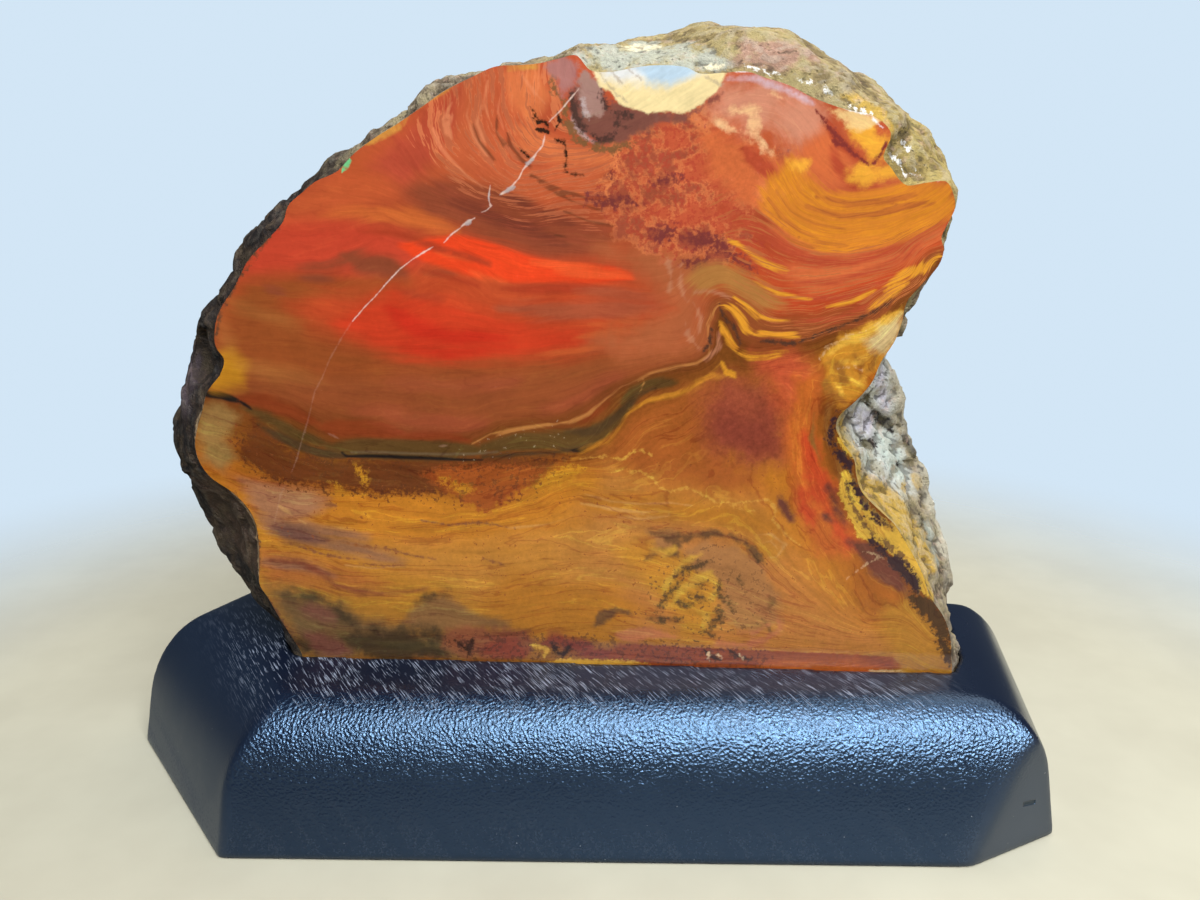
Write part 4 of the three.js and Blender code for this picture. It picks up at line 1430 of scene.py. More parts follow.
    Mark("ash_field", (0.34, 0.18, 0.14), 0.8, 5, BLOT, """-10.2,197.5 -6.4,195 -3.6,191 -2,188 -4,186 -8,187
    -10,191"""),
    Mark("ash_line", (0.46, 0.34, 0.31), 0.7, 2.4, GRIT, """0.8: -11.6,186 -10.6,183 -8.2,180.6 -5,179.2 |
    0.4: -9,189.6 -8.4,187 -7,185.4""", strength=0.85),
    Mark("crescent", (0.07, 0.03, 0.022), 0.7, 3, GRIT, """0.9: -12,191 -11,187.4 -10,184 -8,181.4 | 1:
    -8,181.4 -4.6,180 -1.4,181.4 | 0.5: -4.6,191 -3.4,188.6 -2.4,187.6 | 0.4: 0,186 -1.4,184 2.4,183 | 0.4:
    -12.4,193.4 -11.6,191 | 0.5: -1,186.6 3,185.6"""),
    Mark("brown_halo", (0.2, 0.085, 0.03), 0.7, 3.2, GRIT, """0.9: -13.6,190 -13.2,185 -11,181 -7,178.6
    -2,178.2 3,179.6 | 0.5: -16.4,196 -16,192 -14,189.4"""),
    Mark("lilac_wedge", (0.38, 0.15, 0.125), 1, 3.5, BLOT, """-18,197.6 -14,199 -9.6,197 -11.4,192.6
    -13.6,189.6"""),
    Mark("black_cracks", (0.03, 0.012, 0.006), 0.35, 1.2, GRIT, """0.4: -21.4,185.6 -20,184.4 -18.6,184.8
    -17.4,183.4 | 0.5: -20.6,183 -18.6,182.4 -17,181.8 | 0.35: -13.4,178.6 -13.2,175.6 -13.8,173 | 0.25:
    -13.4,173 -12,172.2 -8.6,172 | 0.3: -24.6,178.6 -23.4,177 -21.6,175.6 | 0.4: -16,180.6 -14.6,179.8
    -13.4,180.2 | 0.25: -22,188 -20.4,186.4 | 0.3: -15.4,187 -14.8,184.6 -15.6,183"""),
    Mark("cap", (0.84, 0.64, 0.31), 0.4, 2.2, BLOT, """-7.6,198 -6.6,194.8 -4,191.6 -1,189.2 3,187.6 7,186.6
    12,186.5 16.4,187.2 20,189 22.6,191 24,193.2 25,196.4 20,198 7,199 -2,199"""),
    Mark("cap_milk", (0.8, 0.76, 0.71), 1.8, 3, BLOT, """-7,198 -5.4,195 -1,193 5,193 9,194.4 16,195 20,196.4
    18,199 0,199"""),
    # Painted reflection: a bluish gleam of the pale surroundings on the top of the white cap.
    Mark("cap_sky_reflection", (0.47, 0.58, 0.66), 1.6, 2.4, BLOT, "3,196.6 6,193 12,192.4 18,195.4 17,198.4 7,198.6"),
    Mark("cap_threads", (0.42, 0.3, 0.19), 0.4, 1.6, GRIT, """0.2: -6.4,197.6 -4,194 -1,190.8 2,188.8 | 0.2:
    -4,198 -1.6,195 1,192.4 | 0.18: 0,198.6 2.4,195.6 5,194 | 0.2: 20,194.6 23,193.4 24.4,192.4 | 0.25:
    24,197 27,197.4""", strength=0.6),
    Mark("white_lace", (0.88, 0.84, 0.8), 0.35, 0.9, GRIT, """0.35: 25.2,195.8 28,196 32,195.8 36,194.4
    40,193 43,191.8 | 0.6: 43.4,192 46,191.6 | 0.4: 46,191.6 48.4,190 51,188.8 | 0.3: 51,188.6 54,187.2
    58,186.2 61,184.4 63,182.6 | 0.3: 63.6,176.4 66,174.6 68.6,172 70,170.4 | 0.25: 72,170.8 77,171"""),
    # The folded gold lines right of the seam.
    Mark("olive_fold", (0.37, 0.15, 0.036), 2, 4.5, STREAK, """20,151 25,151.6 31,149 36,145 41,141 36,140
    30,143 25,145 20,143 17,147"""),
    Mark("fold_wisps", (0.44, 0.17, 0.085), 0.6, 2.4, STREAK, """0.6: 12,152 13,148 12.4,144 | 0.5: 15.6,151
    15.2,146 16.4,142 | 0.4: 19,143.6 22,144 25,143.6 28,142 | 0.4: 16.6,137 17.4,133 20,130 | 0.4: 18.6,141
    20.4,137.4 20.6,133.4 | 0.4: 22,126.6 25.6,130 25.2,134""", strength=0.7),
    Mark("gold_folds", (0.66, 0.265, 0.022), 0.5, 2.2, STREAK, """0.8: 25.2,137 26.6,134 28.4,131 30.2,128.6
    | 0.9: 30.2,128.6 33.4,127.4 38,127.6 43,128.8 | 0.9: 25.8,140.2 28.6,139.6 30.8,137.4 32,134.4
    34.4,133.2 | 0.7: 34.4,133.2 38,133.6 42,133 46,132.4 | 0.5: 29,142.6 32,140.4 35,137.6 39,137 43,136.6 |
    1: 62,139.4 67,142.6 71.6,146 | 1.2: 66,144.6 71,148.4 76,150.4 79,153.4 | 0.4: 27,157 32,153.6 37,150.8
    42,149.2 | 0.4: 52,140 58,141.4 64,144.6 | 0.3: 34,147 40,143.6 48,142 | 0.5: 26,126.4 27.6,123.6
    30,122"""),
    Mark("fold_dark", (0.075, 0.03, 0.016), 0.5, 1.4, GRIT, """0.4: 25,140.6 26,137.8 29,135.6 30.2,132.6
    31,130.6 | 0.5: 36,131.6 40,131.2 43,130.8 46,131.2 | 0.3: 46,131.4 52,134 58,136.2 | 0.3: 58,136.2
    64,139 69.6,142.6 | 0.4: 23.4,134.6 23,131.4 21.4,128.4"""),
    Mark("right_light", (0.78, 0.28, 0.08), 0.4, 11, WISP, """24,166 36,160 46,153 64,152 79,158 74,148
    62,140 46,134 38,138 30,150""", cap=-1.5, strength=0.5),
    Mark("right_dark", (0.28, 0.06, 0.02), 0.4, 11, WISP, """24,166 36,160 46,154 64,153 79,160 78,154 62,140
    46,134 38,138 30,150""", cap=-1.5, strength=0.6),
    # The gold fringe at the top left, the green fleck, and the pale crack that crosses the face.
    Mark("fringe", (0.58, 0.26, 0.045), 0.6, 1.6, BLOT, """-66,178.4 -62,181.4 -56,184.6 -52,185.6 -54,182.6
    -60,180 | -50,187.6 -46,190 -41,192.6 -44,190.4 | -28,197.4 -20,198 -20,196.8
    -27,196.2""", strength=0.85),
    Mark("dark_margin", (0.12, 0.045, 0.02), 0.5, 1.8, GRIT, """0.4: -106,131 -104,138 -99,146 -92,154
    -86,160.6 | 0.3: -100.4,66 -100,74 -101,81 -106,89 | 0.5: -99,58 -95,50 -91,43"""),
    Mark("green_fleck", (0.16, 0.5, 0.2), 0.25, 0.4, GRIT, """-69.4,172.6 -68.6,175.4 -67.2,176.4 -66.4,175.4
    -67.8,173.6"""),
    Mark("crack", (0.74, 0.5, 0.4), 0.22, 0.3, GRIT, """0.12: -10,192 -14.6,187 -17.6,184.4 | 0.14:
    -18.4,181.6 -19,179 -21,176.8 | 0.3: -20.6,177 -22.6,175 -24,173.4 | 0.12: -24,173.4 -25,171.4
    -26.6,169.8 | 0.3: -26.4,169.8 -28,168.4 -30,167.4 | 0.1: -32.2,169.6 -32.7,167 -32.4,164.8 | 0.12:
    -32,164.8 -33.4,163.6 -35,163 | 0.26: -36.4,161.8 -38.6,160.6 -40,159.6 | 0.12: -40,159.4 -42.4,157.8
    -44.6,155.6 | 0.16: -47.2,154.8 -50,153.2 -52.6,151.6 | 0.12: -52.6,151.6 -56,149.2 -59.7,145.7 -63,142.2
    | 0.1: -63,142.2 -66,139.4 -69.2,135.8""", strength=0.9),
    Mark("crack_beads", (0.4, 0.31, 0.29), 0.3, 0.6, GRIT, """0.45: -21.4,176 -23.4,174.4 | 0.5: -26,169.4
    -28.6,168 | 0.45: -37,161.2 -39,160 | 0.25: -32.6,168 -32.6,166""", strength=0.8),
    Mark("crack_faint", (0.5, 0.27, 0.17), 0.3, 0.5, GRIT, """0.1: -69.2,135.8 -73,130.6 -76,126 -78.4,121
    -80.6,117.4 -82.4,111.5 | 0.16: -82.4,111.5 -84,107 -85.4,103.6 | 0.1: -85.4,103.6 -87,99 -89,94.6 |
    0.25: -91,91 -92.4,88.4 -93,86.4 | 0.15: -93,86.4 -94.2,82.6 -95,80 | 0.3: -48,102.6 -45.6,102.8 | 0.2:
    -78,106 -75,104.4""", strength=0.25),
)

# Stains and crusts on the skin's front side, and painted shade in its pits and notches.
RIND_MARKS: tuple[Mark, ...] = (
    Mark("silver", (0.62, 0.62, 0.56), 3, 4, BLOT, """60,115 66,124 70,130 74,120 78,108 82,96 86,84 80,84
    70,94 62,103"""),
    Mark("lilac_crust", (0.58, 0.54, 0.6), 1.6, 3, BLOT, """2.5: 62,111 67,108 69,103 | 1.5: 69,124 71,117
    74,109"""),
    Mark("green_stain", (0.46, 0.52, 0.44), 2, 4, BLOT, """2.6: 72,102 78,94 82,88 | 1.5: 88,76 91,66 | 1.6:
    66,100 70,96""", strength=0.6),
    Mark("mustard_crust", (0.52, 0.32, 0.055), 1, 5, BLOT, """1.8: 61,116 57.6,111 59,105.6 62.4,100.6
    63.4,96 65.4,91.6 69.6,87 74.6,82.6 78.6,76.6 83,69 86,62 | 2.6: 66,93 72,88 78,82 84,74 88,65 | 1.3:
    86,88 88,85 | 1: 80,87 82,85 | 1.2: 53,190.5 60,187.5 65,183""", strength=0.9),
    Mark("tan_edge", (0.52, 0.46, 0.34), 2.4, 4, BLOT, "3.5: 74,126 78,117 84,107 89,96 93,84 96,70 99,56"),
    # Painted shade: near-black in the pits of the right hollow.
    Mark("pit_shade", (0.02, 0.017, 0.016), 0.6, 1.8, GRIT, """1: 65.6,116.2 67,113.4 68.4,111.4 | 1.1:
    69.4,110.2 72,107 74.4,105 | 1.7: 73.2,106 76,104.4 77.4,105 | 1.3: 66.2,102 69,100.8 71.6,99.8 | 0.9:
    76.6,101.6 77.6,103.4 | 1.2: 81.6,99.6 83.6,96.6 86,93.6 | 0.7: 87.6,91.4 88.4,88 | 0.9: 86.2,78.6
    86.6,75.6 | 0.5: 79,94 80.4,91 | 0.4: 88,72 89.4,68.6 | 0.6: 76.8,146 78.2,143.6"""),
    Mark("nose_umber", (0.26, 0.15, 0.1), 1, 2, BLOT, "1.4: 77.6,147.6 77,144 75,141"),
    Mark("chalk_crust", (0.44, 0.45, 0.37), 1.2, 7, BLOT, """-11,199 -6,202 4,204 14,203 22,201 26,198 20,196
    0,196 -8,196""", strength=0.75),
    Mark("crown_cream", (0.8, 0.68, 0.45), 0.6, 1.6, GRIT, """0.8: 0,202 4,202.6 9,202.8 | 0.7: 20,197
    24,197"""),
    Mark("crown_rose", (0.4, 0.21, 0.16), 2, 5, BLOT, """26,199 30,204 40,204 48,199 40,196
    30,197""", strength=0.7),
    Mark("chalk_crumbs", (0.85, 0.82, 0.77), 0.3, 2.6, GRIT, """0.4: 42,193.4 44,193.8 46,193 | 0.5: 48,192
    50.6,190.4 | 0.2: 30,196.8 34,195.8 38,194.4 | 0.2: 54,188 60,186 | 0.3: 65,177 67.6,174.6 69.6,171.6 |
    0.4: 71,173 73,171.4 | 0.2: 68,180 70,178""", strength=0.9),
    Mark("purple_char", (0.085, 0.06, 0.066), 2.5, 3, BLOT, "2.6: -117,124 -119,116 -120,109"),
    Mark("brown_scar", (0.062, 0.036, 0.023), 2, 2.5, BLOT, """-104,89 -112,93.4 -118,90 -118,80 -112,70
    -106,64 -100,66 -100,80"""),
    Mark("scar_rim", (0.4, 0.26, 0.14), 0.4, 1, GRIT, """0.45: -100.6,62 -100.4,72 -101.6,82 -106,89.4
    -112,93.6 | 0.35: -114.6,98 -114,108 -110,116"""),
    # Painted shade: near-black in the notches of the skin's left end.
    Mark("notch_shade", (0.01, 0.009, 0.009), 1, 2, BLOT, """1.3: -105,126 -109,125 -114,123 | 1.4: -101,60
    -105,62 -108,66 | 1: -118,97 -124,92"""),
)


# ---- Finishes ------------


class Painter(Bench):
    """A bench that lays marks over a ground."""

    def grains(self, place: Signal, along: Signal) -> dict[Grain, Signal]:
        """The noises that make marks ragged.

        Args:
            place: The place on the object.
            along: A place that is drawn out along the bands.

        Returns:
            Each grain's noise.
        """
        return {
            STREAK: self.noise(along, 3.2, 4, 0.6),
            WISP: self.noise(along, 1.1, 3, 0.6),
            BLOT: self.noise(place, 6, 6, 0.65),
            GRIT: self.noise(place, 1.3, 4, 0.65),
        }

    def lay(self, ground: Signal, marks: Sequence[Mark], noises: Mapping[Grain, Signal]) -> Signal:
        """Lays marks over a ground colour, in order.

        Args:
            ground: The ground colour.
            marks: The marks.
            noises: Each grain's noise.

        Returns:
            The painted colour.
        """
        moves = {grain: noise - 0.5 for grain, noise in noises.items()}
        for mark in marks:
            terms = [moves[mark.grain], 2.0 * mark.ragged, self.attribute(mark.name)]
            edge = self.node("ShaderNodeMath", {"operation": "MULTIPLY_ADD"}, terms)
            ground = self.mix(edge.step(-mark.soft, mark.soft) * mark.strength, ground, mark.colour)
        return ground


@dataclass(frozen=True)
class PolishedJasper:
    """The cut face: banded pigments under a polish.

    Attributes:
        low: The level of the first ground colour.
        high: The level of the last.
        stretch: How far the bands' grain is drawn out along them, as the share left.
        honey: How the fine light veins change the colour under them.
        wine: How the fine dark veins do.
    """

    low: float = -66.0
    high: float = 112.0
    stretch: float = 0.11
    honey: Colour = (1.25, 1.60, 1.40)
    wine: Colour = (0.68, 0.50, 0.62)

    def build(self, name: str, marks: Sequence[Mark]) -> bpy.types.Material:
        """Makes the material of one zone of the face.

        Args:
            name: The material's name.
            marks: The marks that reach the zone.

        Returns:
            The material.
        """
        bench = Painter(name)
        place = bench.place()
        x, _, z = bench.axes(place)
        sway = bench.noise(place, 16, 3)
        ripple = bench.noise(place, 5, 3)
        level = bench.attribute("level") + (sway - 0.5) * 3.4 + (ripple - 0.5) * 1.2
        along = bench.vector(x * self.stretch, z * self.stretch, level * MM)
        noises = bench.grains(place, along)
        span = self.high - self.low
        stops = [((where - self.low) / span, colour) for where, *colour in knots_in(BAND_COLOURS)]
        blurred = level + (noises[STREAK] - 0.5) * 9.0
        ground = bench.node("ShaderNodeValToRGB", {"stops": stops}, [(blurred - self.low) / span])
        colour = bench.lay(ground, marks, noises)
        fine = bench.noise(place, 0.7, 3, 0.7)
        cloud = bench.noise(place, 11, 4, 0.6)
        clouded = bench.attribute("red_clouds").step(-4.0, 2.0)
        clouded = clouded + bench.attribute("plum_heart").step(-5.0, 2.0)
        below = level.step(6.0, -8.0)
        gritty = 0.3 + below * 0.5 + clouded * 0.5
        banded = 1.0 - clouded * 0.7
        lined = banded * (0.55 + below * 0.45)
        tone = 0.98 - below * 0.1 + (cloud - 0.5) * 0.45
        tone = tone + ((noises[WISP] - 0.5) * 0.6 + (noises[STREAK] - 0.5) * 0.4) * lined
        tone = tone + ((noises[GRIT] - 0.5) * 0.6 + (fine - 0.5) * 0.4) * gritty
        colour = bench.shade(colour, tone)
        marble = bench.noise(along, 6, 4, 0.56, 0.5)
        veins = banded * (0.2 + below * 0.45) * bench.attribute("cap").step(1.0, -1.0)
        light, dark = abs(marble - 0.56).step(0.016, 0.003), abs(marble - 0.46).step(0.018, 0.003)
        colour = bench.mix(light * veins, colour, bench.tint(colour, self.honey))
        colour = bench.mix(dark * veins, colour, bench.tint(colour, self.wine))
        colour = bench.mix(marble.step(0.57, 0.70) * below * 0.5, colour, bench.tint(colour, self.honey))
        rough = 0.10 + noises[GRIT].step(0.55, 0.75) * 0.18
        surface = {"Base Color": colour, "Roughness": rough, "Specular IOR Level": 0.18}
        return bench.finish(surface)


@dataclass(frozen=True)
class NaturalRind:
    """The rough skin that the slab was cut from.

    Attributes:
        tan: The clay of the back and the upper left, light and dark.
        char: The dark left end.
        gold: The gritty right shoulder.
        dirt_and_painted_shade: Grime and painted shade, which darken the hollows and the specks.
        worn: Wear and a painted highlight, which lighten the ridges.
        rose: The stain of the pale rind's light spots.
        moss: The stain between them.
    """

    tan: tuple[Colour, Colour] = ((0.35, 0.275, 0.165), (0.15, 0.108, 0.068))
    char: tuple[Colour, Colour] = ((0.044, 0.027, 0.019), (0.015, 0.011, 0.010))
    gold: tuple[Colour, Colour] = ((0.45, 0.33, 0.105), (0.25, 0.175, 0.055))
    dirt_and_painted_shade: Colour = (0.040, 0.027, 0.018)
    worn: Colour = (0.52, 0.46, 0.36)
    rose: Colour = (0.46, 0.29, 0.21)
    moss: Colour = (0.24, 0.20, 0.085)

    def build(self) -> bpy.types.Material:
        """Makes the material.

        Returns:
            The material.
        """
        bench = Painter("natural_rind")
        place = bench.place()
        noises = bench.grains(place, place)
        blot, grit = noises[BLOT], noises[GRIT]
        fine = bench.noise(place, 0.6, 3, 0.7)
        patches = blot.step(0.42, 0.58)
        colour = bench.mix(patches, *self.tan)
        colour = bench.mix(bench.attribute("gold_rind"), colour, bench.mix(patches, *self.gold))
        colour = bench.mix(bench.attribute("dark_rind"), colour, bench.mix(patches, *self.char))
        colour = bench.lay(colour, RIND_MARKS, noises)
        pale = 1.0 - bench.attribute("dark_rind") * 0.8
        cavity = bench.attribute("cavity")
        # Ridges are lightened: wear, and a painted highlight where the edges catch the light.
        ridge_wear_and_highlight = (cavity * -1.0 + (grit - 0.5) * 0.5).step(0.1, 0.8)
        colour = bench.mix(ridge_wear_and_highlight * pale * 0.25, colour, self.worn)
        # Hollows are darkened: grime, and painted shade where the light doesn't reach.
        colour = bench.mix((cavity + (grit - 0.5) * 0.7).step(0.15, 0.8) * 0.6, colour, self.dirt_and_painted_shade)
        specks = bench.cells(place, 1.6)
        colour = bench.mix((specks - 0.12 + (fine - 0.5) * 0.3).step(0.08, 0.0) * 0.4, colour, self.dirt_and_painted_shade)
        mottle = bench.noise(place, 3.2, 5, 0.7)
        colour = bench.mix(mottle.step(0.54, 0.64) * pale * 0.35, colour, self.rose)
        colour = bench.mix(blot.step(0.50, 0.40) * pale * 0.35, colour, self.moss)
        colour = bench.shade(colour, 0.05 + grit * 0.75 + fine * 0.45 + mottle * 0.65)
        normal = bench.bump(grit * 0.6 + fine * 0.4 + specks.step(0.0, 0.3) * 0.3, 1.1, 0.9)
        surface = {"Base Color": colour, "Roughness": 0.78 - grit.step(0.5, 0.8) * 0.35}
        return bench.finish(surface | {"Normal": normal, "Specular IOR Level": 0.1})


@dataclass(frozen=True)
class BlackPaint:
    """Satin blue-black paint on carved wood, scratched along its top.

    Attributes:
        paint: The paint.
        dust: Worn and dusty places.
        bare: The scratches.
        lint: The specks.
        hollow: The painted shade inside the small slot in the sawn corner.
        nick: The slot's middle, as x and height in mm.
    """

    paint: Colour = (0.0035, 0.0060, 0.0170)
    dust: Colour = (0.085, 0.082, 0.078)
    bare: Colour = (0.42, 0.47, 0.58)
    lint: Colour = (0.5, 0.5, 0.5)
    hollow: Colour = (0.001, 0.001, 0.001)
    nick: Point2 = (118.0, 13.5)

    def build(self) -> bpy.types.Material:
        """Makes the material.

        Returns:
            The material.
        """
        bench = Bench("black_painted_wood")
        place = bench.place()
        x, y, z = bench.axes(place)
        down = y + z
        stroke = bench.vector(x * 0.84 + down * 0.54, (x * 0.54 - down * 0.84) * 0.04, 0.0)
        hair = bench.noise(stroke, 0.27, 1, 0.5)
        broad = bench.noise(stroke, 4, 3, 0.6)
        cloud = bench.noise(place, 22, 4, 0.6)
        stipple = bench.noise(place, 0.7, 2, 0.6)
        pores = bench.cells(place, 0.85)
        top, left, front, sawn = (bench.attribute(name) for name in ("top", "left", "front", "sawn"))
        scratched = (top + bench.attribute("shoulder") * 0.2) * (x / MM).step(108.0, 80.0)
        scratched = scratched * (0.15 + (x / MM).step(-114.0, -94.0) * 0.85)
        cut = (hair + (broad - 0.5) * 0.2 + (cloud - 0.5) * 0.2).step(0.59, 0.64) * scratched
        low = (z / MM + (cloud - 0.5) * 26.0 + (broad - 0.5) * 12.0).step(20.0, 4.0)
        worn = (stipple * 0.6 + broad * 0.4).step(0.48, 0.62) * low * (0.25 + left * 0.5)
        specks = bench.noise(place, 0.8, 1, 0.5).step(0.80, 0.84)
        colour = bench.mix(cut * 0.8, self.paint, self.bare)
        colour = bench.mix(worn * 0.4 + left * low * 0.25 + sawn * 0.45, colour, self.dust)
        colour = bench.mix(specks * 0.7, colour, self.lint)
        # The slot's inside is painted near-black as its shade, with a bump; the mesh has no cut there.
        aside = x / MM - self.nick[0]
        slot = abs(aside).step(2.3, 1.6) * abs(z / MM - self.nick[1] + aside * 0.15).step(0.8, 0.4)
        slot = slot * sawn
        colour = bench.mix(slot, colour, self.hollow)
        rough = 0.22 + (cloud - 0.5) * 0.16 + cut * 0.2 + worn * 0.3 + (left + sawn) * 0.25 + top * 0.12
        upper = 0.25 + (z / MM).step(12.0, 28.0) * 0.75
        relief = (stipple * (0.1 + front) + pores * (front * 0.8)) * upper - cut * 0.4 - slot * 5.0
        surface = {"Base Color": colour, "Roughness": rough, "Normal": bench.bump(relief, 0.2, 1.0)}
        surface |= {"Specular IOR Level": 0.7, "Specular Tint": (0.40, 0.66, 1.0)}
        return bench.finish(surface)


# ---- The pieces ------------


def make_piece(name: str, node: Node, mesh: Mesh) -> bpy.types.Object:
    """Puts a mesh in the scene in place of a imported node.

    Args:
        name: The piece's name.
        node: The node that it stands for.
        mesh: Its mesh.

    Returns:
        The piece.
    """
    piece = hang(name, mesh)
    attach(piece, "root")
    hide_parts(node.value)
    LOG.info("%s: %d points, %d faces", name, len(mesh.vertices), len(mesh.polygons))
    return piece


def store(mesh: Mesh, name: str, values: Array, where: Any = slice(None)) -> None:
    """Stores numbers at a mesh's points.

    Args:
        mesh: The mesh.
        name: The attribute's name.
        values: The numbers.
        where: Which points they belong to. The others get DEEPEST below 0.
    """
    whole = np.full(len(mesh.vertices), -DEEPEST)
    whole[where] = values
    mesh.attributes.new(name, "FLOAT", "POINT").data.foreach_set("value", whole.astype(np.float32))


@dataclass
class JasperSlab:
    """The stone: its shape, its paint and its rind.

    Attributes:
        shape: Its mesh.
        bands: The field of its bands.
        zone_sides: The x of the lines between the polished face's zones.
        zone_tops: The z of those lines.
    """

    shape: StoneShape = field(default_factory=StoneShape)
    bands: BandField = field(default_factory=BandField)
    zone_sides: tuple[float, ...] = (-45.0, 20.0)
    zone_tops: tuple[float, ...] = (100.0,)

    def build(self) -> bpy.types.Object:
        """Builds the slab.

        Returns:
            The piece.
        """
        points, triangles, polished = self.shape.build(self._hairlines())
        mesh = bpy.data.meshes.new("jasper_slab_rough")
        mesh.from_pydata(self.shape.seat(points).tolist(), [], triangles.tolist())
        mesh.polygons.foreach_set("use_smooth", np.ones(len(triangles), dtype=bool))
        self._sharpen(mesh)
        self._paint(mesh, points)
        self._cover(mesh, points)
        middles = points[triangles].mean(axis=1)
        column = np.searchsorted(self.zone_sides, middles[:, 0])
        zone = 1 + column * (1 + len(self.zone_tops)) + np.searchsorted(self.zone_tops, middles[:, 2])
        self._finish(mesh, triangles, np.where(polished, zone, 0))
        return make_piece("jasper_slab_rough", Node.STONE, mesh)

    @staticmethod
    def _finish(mesh: Mesh, triangles: Array, zones: Array) -> None:
        """Gives the rind and each zone of the face their finish.

        A zone's finish has only the marks that reach it, because every point works out all of them.

        Args:
            mesh: The mesh, with the marks' depths.
            triangles: Its triangles.
            zones: The zone of each triangle, which is 0 on the rind.
        """
        depths = [read(mesh.attributes[mark.name].data, "value", 1)[:, 0] for mark in MARKS]
        mesh.materials.append(NaturalRind().build())
        for zone in range(1, zones.max() + 1):
            corners = np.unique(triangles[zones == zone])
            highest = [depth[corners].max() for depth in depths]
            marks = [mark for mark, high in zip(MARKS, highest) if high + mark.soft + mark.ragged > 0.0]
            mesh.materials.append(PolishedJasper().build(f"polished_jasper_{zone}", marks))
            LOG.info("zone %d of the face: %d marks", zone, len(marks))
        mesh.polygons.foreach_set("material_index", zones.astype(np.int32))

    def _sharpen(self, mesh: Mesh) -> None:
        """Keeps the face's own edge sharp."""
        rim = (read(mesh.edges, "vertices", 2, np.int32) < self.shape.around).all(axis=1)
        mesh.edges.foreach_set("use_edge_sharp", rim)

    def _paint(self, mesh: Mesh, points: Array) -> None:
        """Stores the bands' level and the depths of the marks, each where it lies.

        Args:
            mesh: The mesh.
            points: Its places in the stone's frame.
        """
        face = points[:, 1] == 0.0
        painted_rings = self.shape.skin_rings + 4
        skin = ~face & (np.arange(len(points)) < self.shape.around * painted_rings)
        skin[: self.shape.around] = True
        store(mesh, "level", self.bands.level(points[face][:, [0, 2]]), face)
        for where, marks in ((face, MARKS), (skin, RIND_MARKS)):
            plan = points[where][:, [0, 2]]
            wander = self._wander(points[where])
            for mark in marks:
                store(mesh, mark.name, mark.depth(plan + wander * mark.sway), where)

    @staticmethod
    def _wander(places: Array) -> Array:
        """How far the marks stray, as (x, z) in mm for a mark with a sway of 1."""
        return np.stack([Grit(seed).fractal(places, 11.0, 3) for seed in (41, 42)], axis=1)

    def _hairlines(self, apart: float = 0.35) -> Array:
        """Points along the face's thin strokes, where its mesh needs them.

        Args:
            apart: How near to each other they may be, in mm.

        Returns:
            The points as (x, z).
        """
        lines = []
        for mark in MARKS:
            middle = mark.hairlines()
            lines.append(middle - self._wander(np.insert(middle, 1, 0.0, axis=1)) * mark.sway)
        points = np.concatenate(lines)
        return points[np.unique(np.round(points / apart), axis=0, return_index=True)[1]]

    @staticmethod
    def _cover(mesh: Mesh, points: Array) -> None:
        """Stores where each kind of rind lies, and how hollow the skin is.

        Args:
            mesh: The mesh.
            points: Its places in the stone's frame.
        """
        angle = np.degrees(polar(points[:, [0, 2]])[0])
        share = {name: relief.share(angle) for name, relief in RELIEFS.items()}
        behind = np.clip(1.7 - points[:, 1] / 30.0, 0.25, 1.0)
        store(mesh, "dark_rind", share["dark left end"] * behind)
        store(mesh, "gold_rind", np.maximum(share["gold shoulder"], 0.6 * share["crown"]) * behind)
        hollow = cavity(mesh, points)
        hollow[points[:, 1] < 0.6] = 0.15
        store(mesh, "cavity", hollow)


def cavity(mesh: Mesh, points: Array) -> Array:
    """How hollow a mesh is at each point.

    Args:
        mesh: The mesh.
        points: Its places.

    Returns:
        The hollows, from -1 on ridges to 1 in pits.
    """
    first, second = read(mesh.edges, "vertices", 2, np.int32).T
    normals = read(mesh.vertices, "normal", 3)
    degree = np.bincount(np.concatenate([first, second]), minlength=len(points))

    def spread(values: Array) -> Array:
        """The mean of each point's neighbours."""
        total = np.bincount(first, values[second], len(points))
        return (total + np.bincount(second, values[first], len(points))) / np.maximum(degree, 1)

    pull = np.stack([spread(points[:, axis]) for axis in range(3)], axis=1) - points
    hollow = (pull * normals).sum(axis=1)
    hollow = 0.5 * hollow + 0.5 * spread(hollow)
    return np.clip(hollow / 0.10, -1.0, 1.0)


@dataclass
class WoodenStand:
    """The stand and its paint.

    Attributes:
        shape: Its mesh.
    """

    shape: StandShape = field(default_factory=StandShape)

    def build(self, packed: bpy.types.Object) -> bpy.types.Object:
        """Builds the stand.

        Args:
            packed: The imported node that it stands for.

        Returns:
            The piece.
        """
        mesh = self.shape.build(packed)
        for name, values in self.shape.parts(mesh).items():
            store(mesh, name, values)
        mesh.materials.clear()
        mesh.materials.append(BlackPaint().build())
        mesh.polygons.foreach_set("use_smooth", np.ones(len(mesh.polygons), dtype=bool))
        return make_piece("wooden_stand_painted", Node.STAND, mesh)


@dataclass(frozen=True)
class Lamp:
    """A soft lamp.

    Attributes:
        name: Its name.
        at: Where it is, in metres.
        aim: The point that it faces.
        size: Its width and height, in metres.
        power: Its power, in watts.
        colour: Its colour.
        sheen: Whether it shows in glossy surfaces alone.
    """

    name: str
    at: tuple[float, float, float]
    aim: tuple[float, float, float]
    size: Point2
    power: float
    colour: Colour
    sheen: bool = False

    def build(self) -> None:
        """Hangs the lamp."""
        data = bpy.data.lights.new(self.name, "AREA")
        data.shape = "RECTANGLE"
        data.size, data.size_y = self.size
        data.energy = self.power
        data.color = self.colour
        lamp = hang(self.name, data)
        lamp.location = self.at
        lamp.visible_diffuse = not self.sheen
        lamp.rotation_euler = (Vector(self.aim) - Vector(self.at)).to_track_quat("-Z", "Y").to_euler()


